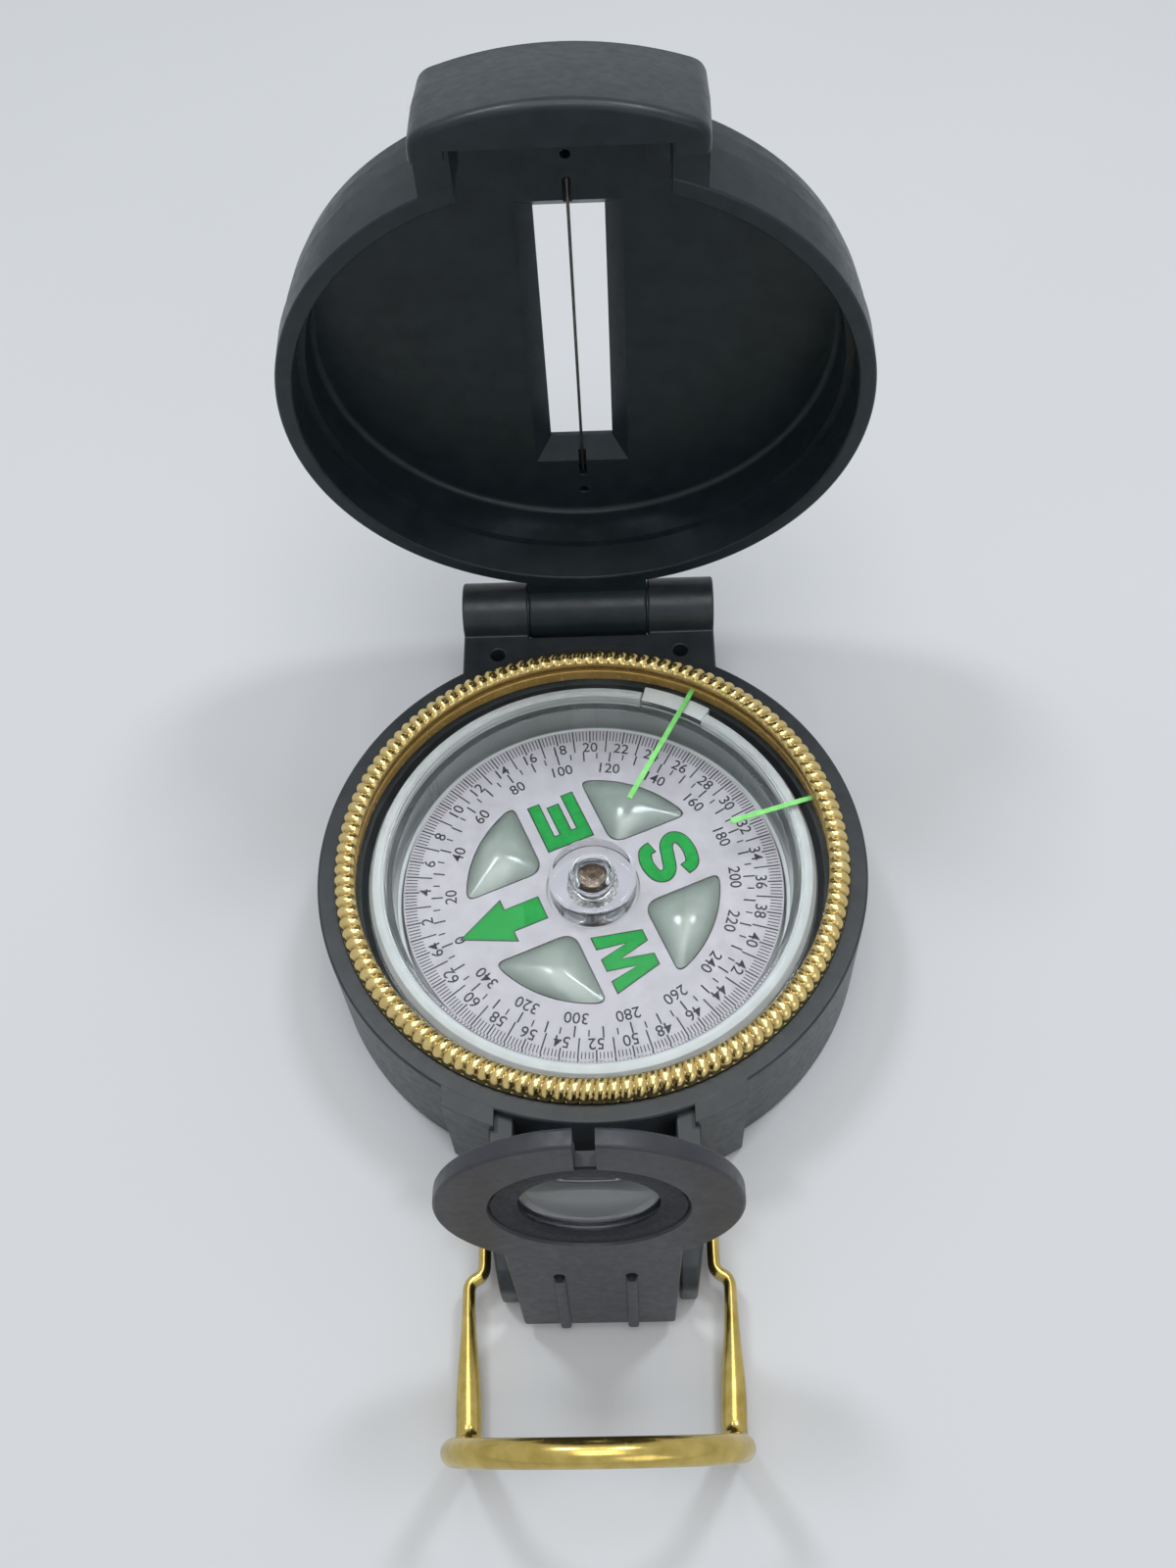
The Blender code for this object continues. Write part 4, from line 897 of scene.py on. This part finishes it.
def buildCover(size=cover):
    r, rim, plate, top, bore, inner = pick(size, "radius rim plate top bore inner")
    lip, x, knuckle, flare, steps = pick(size, "noseLip armHalf knuckle flare steps")
    belt = rim + size["belt"]
    outer = [(0, rim), (r, rim, 0.28), (r, belt, 0.12), (r - 0.25, belt + 0.2, 0.12)]
    outer += [(r - 0.3, belt + 2.5, 2), (r - 0.6, belt + 4.9, 2), (r - 1.05, top - 1.1, 0.8)]
    shell = lathe(outer + [(r - 1.5, top - 0.35, 0.5), (r - 2.1, top, 0.6), (0, top)], steps)
    hood = buildNose()
    cut(hood, block((-14, -31.3, lip - 3), (14, -15, rim + 0.1)))  # clears the case
    arm = block((-x, 25.5, rim + 0.05), (x, hingeY, hingeZ + knuckle))
    fuse(shell, hood, arm, rod((-x, *hinge), (x, *hinge), knuckle, 72, soft=0.3))

    hollow = [(0, rim - 4), (bore + flare, rim - 4)] + flared(bore, rim, flare, -1)[::-1]
    hollow += [(bore, 18.2), (inner, 18.3), (inner, plate, 0.7), (0, plate)]
    cut(shell, lathe(hollow, steps, 6))
    slotX, slotY, wideX, wideY = size["slot"]
    levels = [(z, slotX + wideX, slotY + wideY) for z in (plate - 1, plate)]
    levels += [(top - 0.6, slotX, slotY), (top - 0.15, slotX, slotY), (top + 1, slotX + 1.15, slotY + 1.15)]
    cut(shell, loft([[(-a, -b, z), (a, -b, z), (a, b, z), (-a, b, z)] for z, a, b in levels]))
    near, half = pick(size, "noseInnerY noseInnerHalf")
    channel = [(near, lip - 3), (near, plate - 5.8), (near + 2.8, plate), (-18, plate), (-18, lip - 3)]
    cut(shell, slab(channel, -half, half, "X"))
    cut(shell, rod((-8, *hinge), (8, *hinge), size["pinHole"]))
    z, end, rise, bend = pick(size, "wireHeight wireEnd wireRise wireBend")
    for way in (-1, 1):
        nearY, farY = sorted((way * (slotY - 0.5), way * (end + 0.3)))
        cut(shell, block((-0.4, nearY, plate - 0.6), (0.4, farY, z + 0.4)))
        # the hole that holds the wire's end, and the spare one past it
        for y, head, wide in ((end, z + 1.5, 0.42), (end + size["spareHole"], plate + 1.2, 0.45)):
            cut(shell, rod((0, way * y, head), (0, way * y, plate - 0.12), wide, 28, 0.12))
    settle(shell, "coverShell", "cover", "case_plastic", "coverPlastic", "cover_shell")

    leg = [(-end, z + rise)] + curveTo((-end, z + bend), (-end, z), (bend - end, z), 6)
    path, rings, across = leg + mirrored(leg), [], Vector((1, 0, 0))
    turns = [fullTurn * n / 12 for n in range(12)]
    for k, spot in enumerate(path):
        behind, ahead = around(path, k)
        lift = Vector((0, ahead[0] - behind[0], ahead[1] - behind[1])).normalized().cross(across)
        ring = [(across * cos(t) + lift * sin(t)) * size["wireRadius"] for t in turns]
        rings.append([Vector((0, *spot)) + out for out in ring])
    settle(loft(rings), "sightingWire", "cover", "steel", "darkWire", "sighting_wire")


buildCover()
print("stage: cover made")


# Eyepiece, drawn in its own plane: x across, y up the plate, z out of its front

eyepiece = {
    "radius": 12.2, "half": 0.8, "soft": 0.3, "bossRadius": 8, "bossRise": 0.7,
    "plateLow": -28.1, "plateHigh": -8, "plateLowHalf": 6.95, "plateHighHalf": 7.45,
    "ribX": 3.1, "ribHalf": 0.5, "ribHigh": -15.8, "ribRise": 0.25, "ribHole": (0.52, 0.68), "dishRadius": 8,
    "lensRadius": 5.9, "lensHole": 5.2, "lensSeat": 6.15, "lensMouth": 6.9, "sightHalf": 0.85,
    "earInner": 5.6, "earOuter": 7.1, "earLobe": 1.9,
    "earRear": -41.2,  # inside the plate
    "pinHole": 0.72,
}


def buildBracket(size=eyepiece):
    half, r, soft, rise, bossR = pick(size, "half radius soft bossRise bossRadius")
    back = -half - rise
    bracket = lathe([(0, -half), (r, -half, soft), (r, half, soft), (0, half)], 144)
    boss = lathe([(0, back), (bossR, back, soft), (bossR, -0.1), (0, -0.1)], 121)
    low, high, lowX, highX = pick(size, "plateLow plateHigh plateLowHalf plateHighHalf")
    stem = [(-lowX, low), (lowX, low), (highX, high), (-highX, high)]
    fuse(bracket, slab(stem, 0.05 - half, half - 0.05, soft=0.25), boss)
    intoPlane = drawnIn["eyepiece"].inverted()
    middle, wide, head, rear = pick(size, "ribX ribHalf ribHigh earRear")
    ear = [(rear, foldZ - 1.3), (rear, foldZ + 1.4), (foldY - 4, foldZ + 1.4)]
    ear += arc(foldY, foldZ, size["earLobe"], 112, -94, 32)
    for side in (-1, 1):
        x = side * middle
        rib = block((x - wide, low - 0.5, half - 0.5), (x + wide, head, half + size["ribRise"]), 0.25)
        span = sorted((side * size["earInner"], side * size["earOuter"]))
        fuse(bracket, rib, place(slab(ear, *span, "X", 0.2), intoPlane))

    hole, seat, mouth, dish, sight = pick(size, "lensHole lensSeat lensMouth dishRadius sightHalf")
    opening = [(0, -4), (hole + 0.2, -4), (hole + 0.2, back - 0.02), (hole, back + 0.2), (hole, 0.2 - half)]
    opening += [(seat, 0.2 - half), (seat, 0.1), (mouth, 0.1), (mouth, half - 0.46)]
    opening += [(dish - 0.2, half - 0.42), (dish, half + 0.02), (dish, 4), (0, 4)]
    cut(bracket, lathe(opening, 149))
    cut(bracket, block((-sight, seat, -4), (sight, r + 2, 4)))
    wide, tall = size["ribHole"]
    for side in (-1, 1):
        oval = shift((side * middle, head + 0.5, 0)) @ Matrix.Diagonal((wide, tall, 1, 1))
        cut(bracket, place(rod((0, 0, 0), (0, 0, 3), 1, 32), oval))
    cut(bracket, place(rod((-8, *fold), (8, *fold), size["pinHole"]), intoPlane))
    settle(bracket, "eyepieceBracket", "eyepiece", "case_plastic", "eyepiecePlastic", "lens_bracket")


def buildLens(size=eyepiece):
    half, r, mouth, dish = pick(size, "half lensRadius lensMouth dishRadius")
    low = 0.5 - half
    lens = [(0, low - 0.2), (r, low - 0.2, 0.08), (r, low + 0.2, 0.08), (r - 0.6, low + 0.25, 0.1)]
    for share in (k / 10 for k in range(8, -1, -1)):
        lens.append((r * share, low + 0.25 + 0.5 * (1 - (share / 0.9) ** 2)))
    lens = lathe(lens, 96)
    settle(lens, "magnifierLens", "eyepiece", "clear_plastic", "lensGlass", "lens", creaseAt=30)
    outer, seat, brim = mouth - 0.04, 0.12, dish - 0.26
    ring = [(r - 0.3, seat, 0.05), (outer, seat, 0.02), (outer, half - 0.43), (brim, half - 0.39, 0.03)]
    ring += [(brim, half - 0.2, 0.08), (r + 0.6, half - 0.3, 0.2), (r - 0.3, seat + 0.2, 0.06)]
    # painted shade: the near-black ring covers the dish, standing for its shadow
    settle(lathe(ring, 144), "lensRing", "eyepiece", "case_plastic", "shadeBlackRingPlastic", "lens_ring")


buildBracket()
buildLens()
print("stage: eyepiece made")


# Thumb loop

loop = {
    "flatHalf": 0.62, "flatTall": 1.2, "wire": 1.2, "armX": 10.67, "kinkX": 12.09, "ringX": 11.85,
    "kinkReach": 11.5, "ringReach": 24.3, "ringDrop": 2.45, "bend": 2.2, "lean": 10.6, "tall": 23, "startX": 5.8, "sides": 12,
}


def loopArm(long, size=loop):
    # across, along, half its width and half its height at each station
    flat, tall, full, start = pick(size, "flatHalf flatTall wire startX")
    armX, kinkX, ringX, reach = pick(size, "armX kinkX ringX kinkReach")
    midX = (armX + kinkX) / 2
    arm = [(start, 0, flat, flat), (armX - 0.7, 0, flat, flat)]
    arm += [(x, s, flat, flat) for x, s in curveTo((armX - 0.7, 0), (armX, 0), (armX, 0.75), 5)[1:]]
    arm += [(armX, 2, flat, 0.95), (armX, 3.5, flat, 1.12), (armX, 5, flat, tall)]
    kink = curveTo((armX, 8.5), (armX, 9.45), (midX, 9.75), 6)
    kink += curveTo((midX, 9.75), (kinkX, 10.05), (kinkX, reach - 0.5), 6)[1:]
    arm += [(x, s, flat, tall) for x, s in kink]
    for s, wide in ((13.5, 0.68), (15, 0.8), (16.5, 0.93), (18, 1.05), (19.5, 1.15), (21, full)):
        arm.append((kinkX + (ringX - kinkX) * (s - reach) / (long - reach), s, wide, full))
    return arm


def loopStations(size=loop):
    # centre, the way its height runs, and half its width and height, from one end to the top
    ringX, full, bend, lean = pick(size, "ringX wire bend lean")
    root = Vector((0, *fold))
    tip = root + Vector((0, -size["ringReach"], -size["ringDrop"]))
    along, across, lean = (tip - root).normalized(), Vector((1, 0, 0)), radians(lean)
    lift = along.cross(across)
    up, back = Vector((0, -sin(lean), cos(lean))), Vector((0, cos(lean), sin(lean)))
    arm = loopArm((tip - root).length)
    stations = [(root + across * x + along * s, lift, wide, high) for x, s, wide, high in arm]
    foot = tip + across * ringX
    for k in range(8):
        t = k / 7
        spot = (foot - along * bend) * (1 - t) ** 2 + foot * (2 * t * (1 - t)) + (foot + up * bend) * t * t
        way = (along * (1 - t) + up * t).normalized()
        stations.append((spot, way.cross(across), full, full))
    rise = size["tall"] - ringX
    stations.append((foot + up * (rise * 0.5), back, full, full))
    for k in range(1, 17):
        t = pi / 2 * k / 16
        spot = tip + up * (rise + ringX * sin(t)) + across * (ringX * cos(t))
        stations.append((spot, back, full, full))
    return stations


def buildLoop(size=loop):
    half, sides = loopStations(), size["sides"]
    mirror = Vector((-1, 1, 1))
    path = half + [(centre * mirror, height, wide, high) for centre, height, wide, high in half[-2::-1]]
    turns = [fullTurn * (n + 0.5) / sides for n in range(sides)]
    rings = []
    for k, (centre, height, wide, high) in enumerate(path):
        behind, ahead = (station[0] for station in around(path, k))
        side = (ahead - behind).cross(height).normalized()
        rise = side.cross(ahead - behind).normalized()
        rings.append([centre + side * (wide * cos(t)) + rise * (high * sin(t)) for t in turns])
    made = loft(rings)
    smooth = made.modifiers.new("Smooth wire", "SUBSURF")
    smooth.levels = smooth.render_levels = 1
    settle(applyAll(made), "thumbLoop", "loop", "brass", "wireBrass", "thumb_loop", creaseAt=60)


buildLoop()
print("stage: loop made")


# Floor, light and camera, in metres

studio = {
    "floorSize": 4, "floorDrop": 0.0002, "floorColour": (0.72, 0.735, 0.755),
    "sky": (0.93, 0.96, 1), "ambient": 0.34, "backdrop": (0.66, 0.68, 0.7), "aim": (0, 0, 0.015),
    # where each stands, its size, its power and its colour
    "lamps": {
        "overhead": ((0.02, -0.16, 0.75), (0.42, 0.42), 1.7, (1, 0.99, 0.97)),
        "windowLeft": ((-0.15, 0.11, 0.44), (0.05, 0.09), 0.42, (0.9, 0.95, 1)),
        "windowRight": ((0.15, 0.11, 0.44), (0.05, 0.09), 0.42, (0.9, 0.95, 1)),
        "bulbLeft": ((-0.035, 0.12, 0.45), (0.016, 0.016), 0.04, (1, 0.85, 0.66)),
        "bulbRight": ((0.035, 0.12, 0.45), (0.016, 0.016), 0.04, (1, 0.85, 0.66)),
        "frontFill": ((0.3, -0.5, 0.3), (0.3, 0.3), 0.35, (1, 0.97, 0.94)),
    },
}


def makeFloor(size=studio):
    tree, shader = newMaterial("paleCloth")
    light, half = size["floorColour"], size["floorSize"] / 2
    shade = spread(tree, noiseAt(tree, 60, 2), 0, 1)
    tone = blend(tree, shade, tuple(c * 0.985 for c in light), light)
    setSockets(tree, shader, {"Base Color": tone, "Roughness": 0.9, gloss: 0.2})
    bm = bmesh.new()
    corners = ((-half, -half), (half, -half), (half, half), (-half, half))
    bm.faces.new([bm.verts.new((x, y, -size["floorDrop"])) for x, y in corners])
    floor = shapeFrom(bm)
    floor.name = floor.data.name = "floor"
    floor.data.materials.append(bpy.data.materials["paleCloth"])


def makeWorld(size=studio):
    world = bpy.data.worlds.new("studioWorld")
    scene.world = world
    world.use_nodes = True
    tree = world.node_tree
    lit = tree.nodes["Background"]
    setSockets(tree, lit, {"Color": (*size["sky"], 1), "Strength": size["ambient"]})
    seen = addNode(tree, "Background", {"Color": (*size["backdrop"], 1)})[0]
    path = addNode(tree, "LightPath", {})
    share = path["Is Camera Ray"]
    for name in ("Is Glossy Ray", "Is Transmission Ray"):
        share = addNode(tree, "Math", {0: share, 1: path[name]}, operation="MAXIMUM")[0]
    # 1 for a path that has met no matt surface yet
    fresh = addNode(tree, "Math", {0: path["Diffuse Depth"], 1: 0.5}, operation="LESS_THAN")[0]
    share = addNode(tree, "Math", {0: share, 1: fresh}, operation="MULTIPLY")[0]
    mix = addNode(tree, "MixShader", {0: share, 1: lit.outputs[0], 2: seen})[0]
    setSockets(tree, tree.nodes["World Output"], {"Surface": mix})


def makeLamps(size=studio):
    for name, (spot, (wide, high), power, colour) in size["lamps"].items():
        data = bpy.data.lights.new(name, "AREA")
        data.shape = "RECTANGLE"
        data.size, data.size_y, data.energy, data.color = wide, high, power, colour
        lamp = addObject(name, data)
        lamp.location = spot
        lamp.rotation_euler = (Vector(size["aim"]) - Vector(spot)).to_track_quat("-Z", "Y").to_euler()


# Angles in degrees, and distance, target and lens in millimetres
view = {
    "azimuth": 2.74, "elevation": 57.47, "roll": -3.83, "distance": 167.96,
    "target": (-0.36, 11.45, 10), "lens": 36.405,
}


def makeCamera(size=view):
    a, e, roll = (radians(size[k]) for k in ("azimuth", "elevation", "roll"))
    back = Vector((sin(a) * cos(e), -cos(a) * cos(e), sin(e)))
    right = (-back).cross(Vector((0, 0, 1))).normalized()
    up = right.cross(-back)
    right, up = right * cos(roll) + up * sin(roll), up * cos(roll) - right * sin(roll)
    spot = (Vector(size["target"]) + back * size["distance"]) * 0.001
    data = bpy.data.cameras.new("camera")
    data.lens, data.clip_start, data.clip_end = size["lens"], 0.005, 20
    scene.camera = addObject("camera", data)
    scene.camera.matrix_world = shift(spot) @ Matrix((right, up, back)).transposed().to_4x4()


makeFloor()
makeWorld()
makeLamps()
makeCamera()
scene.view_settings.view_transform = "Standard"
print("stage: studio made")
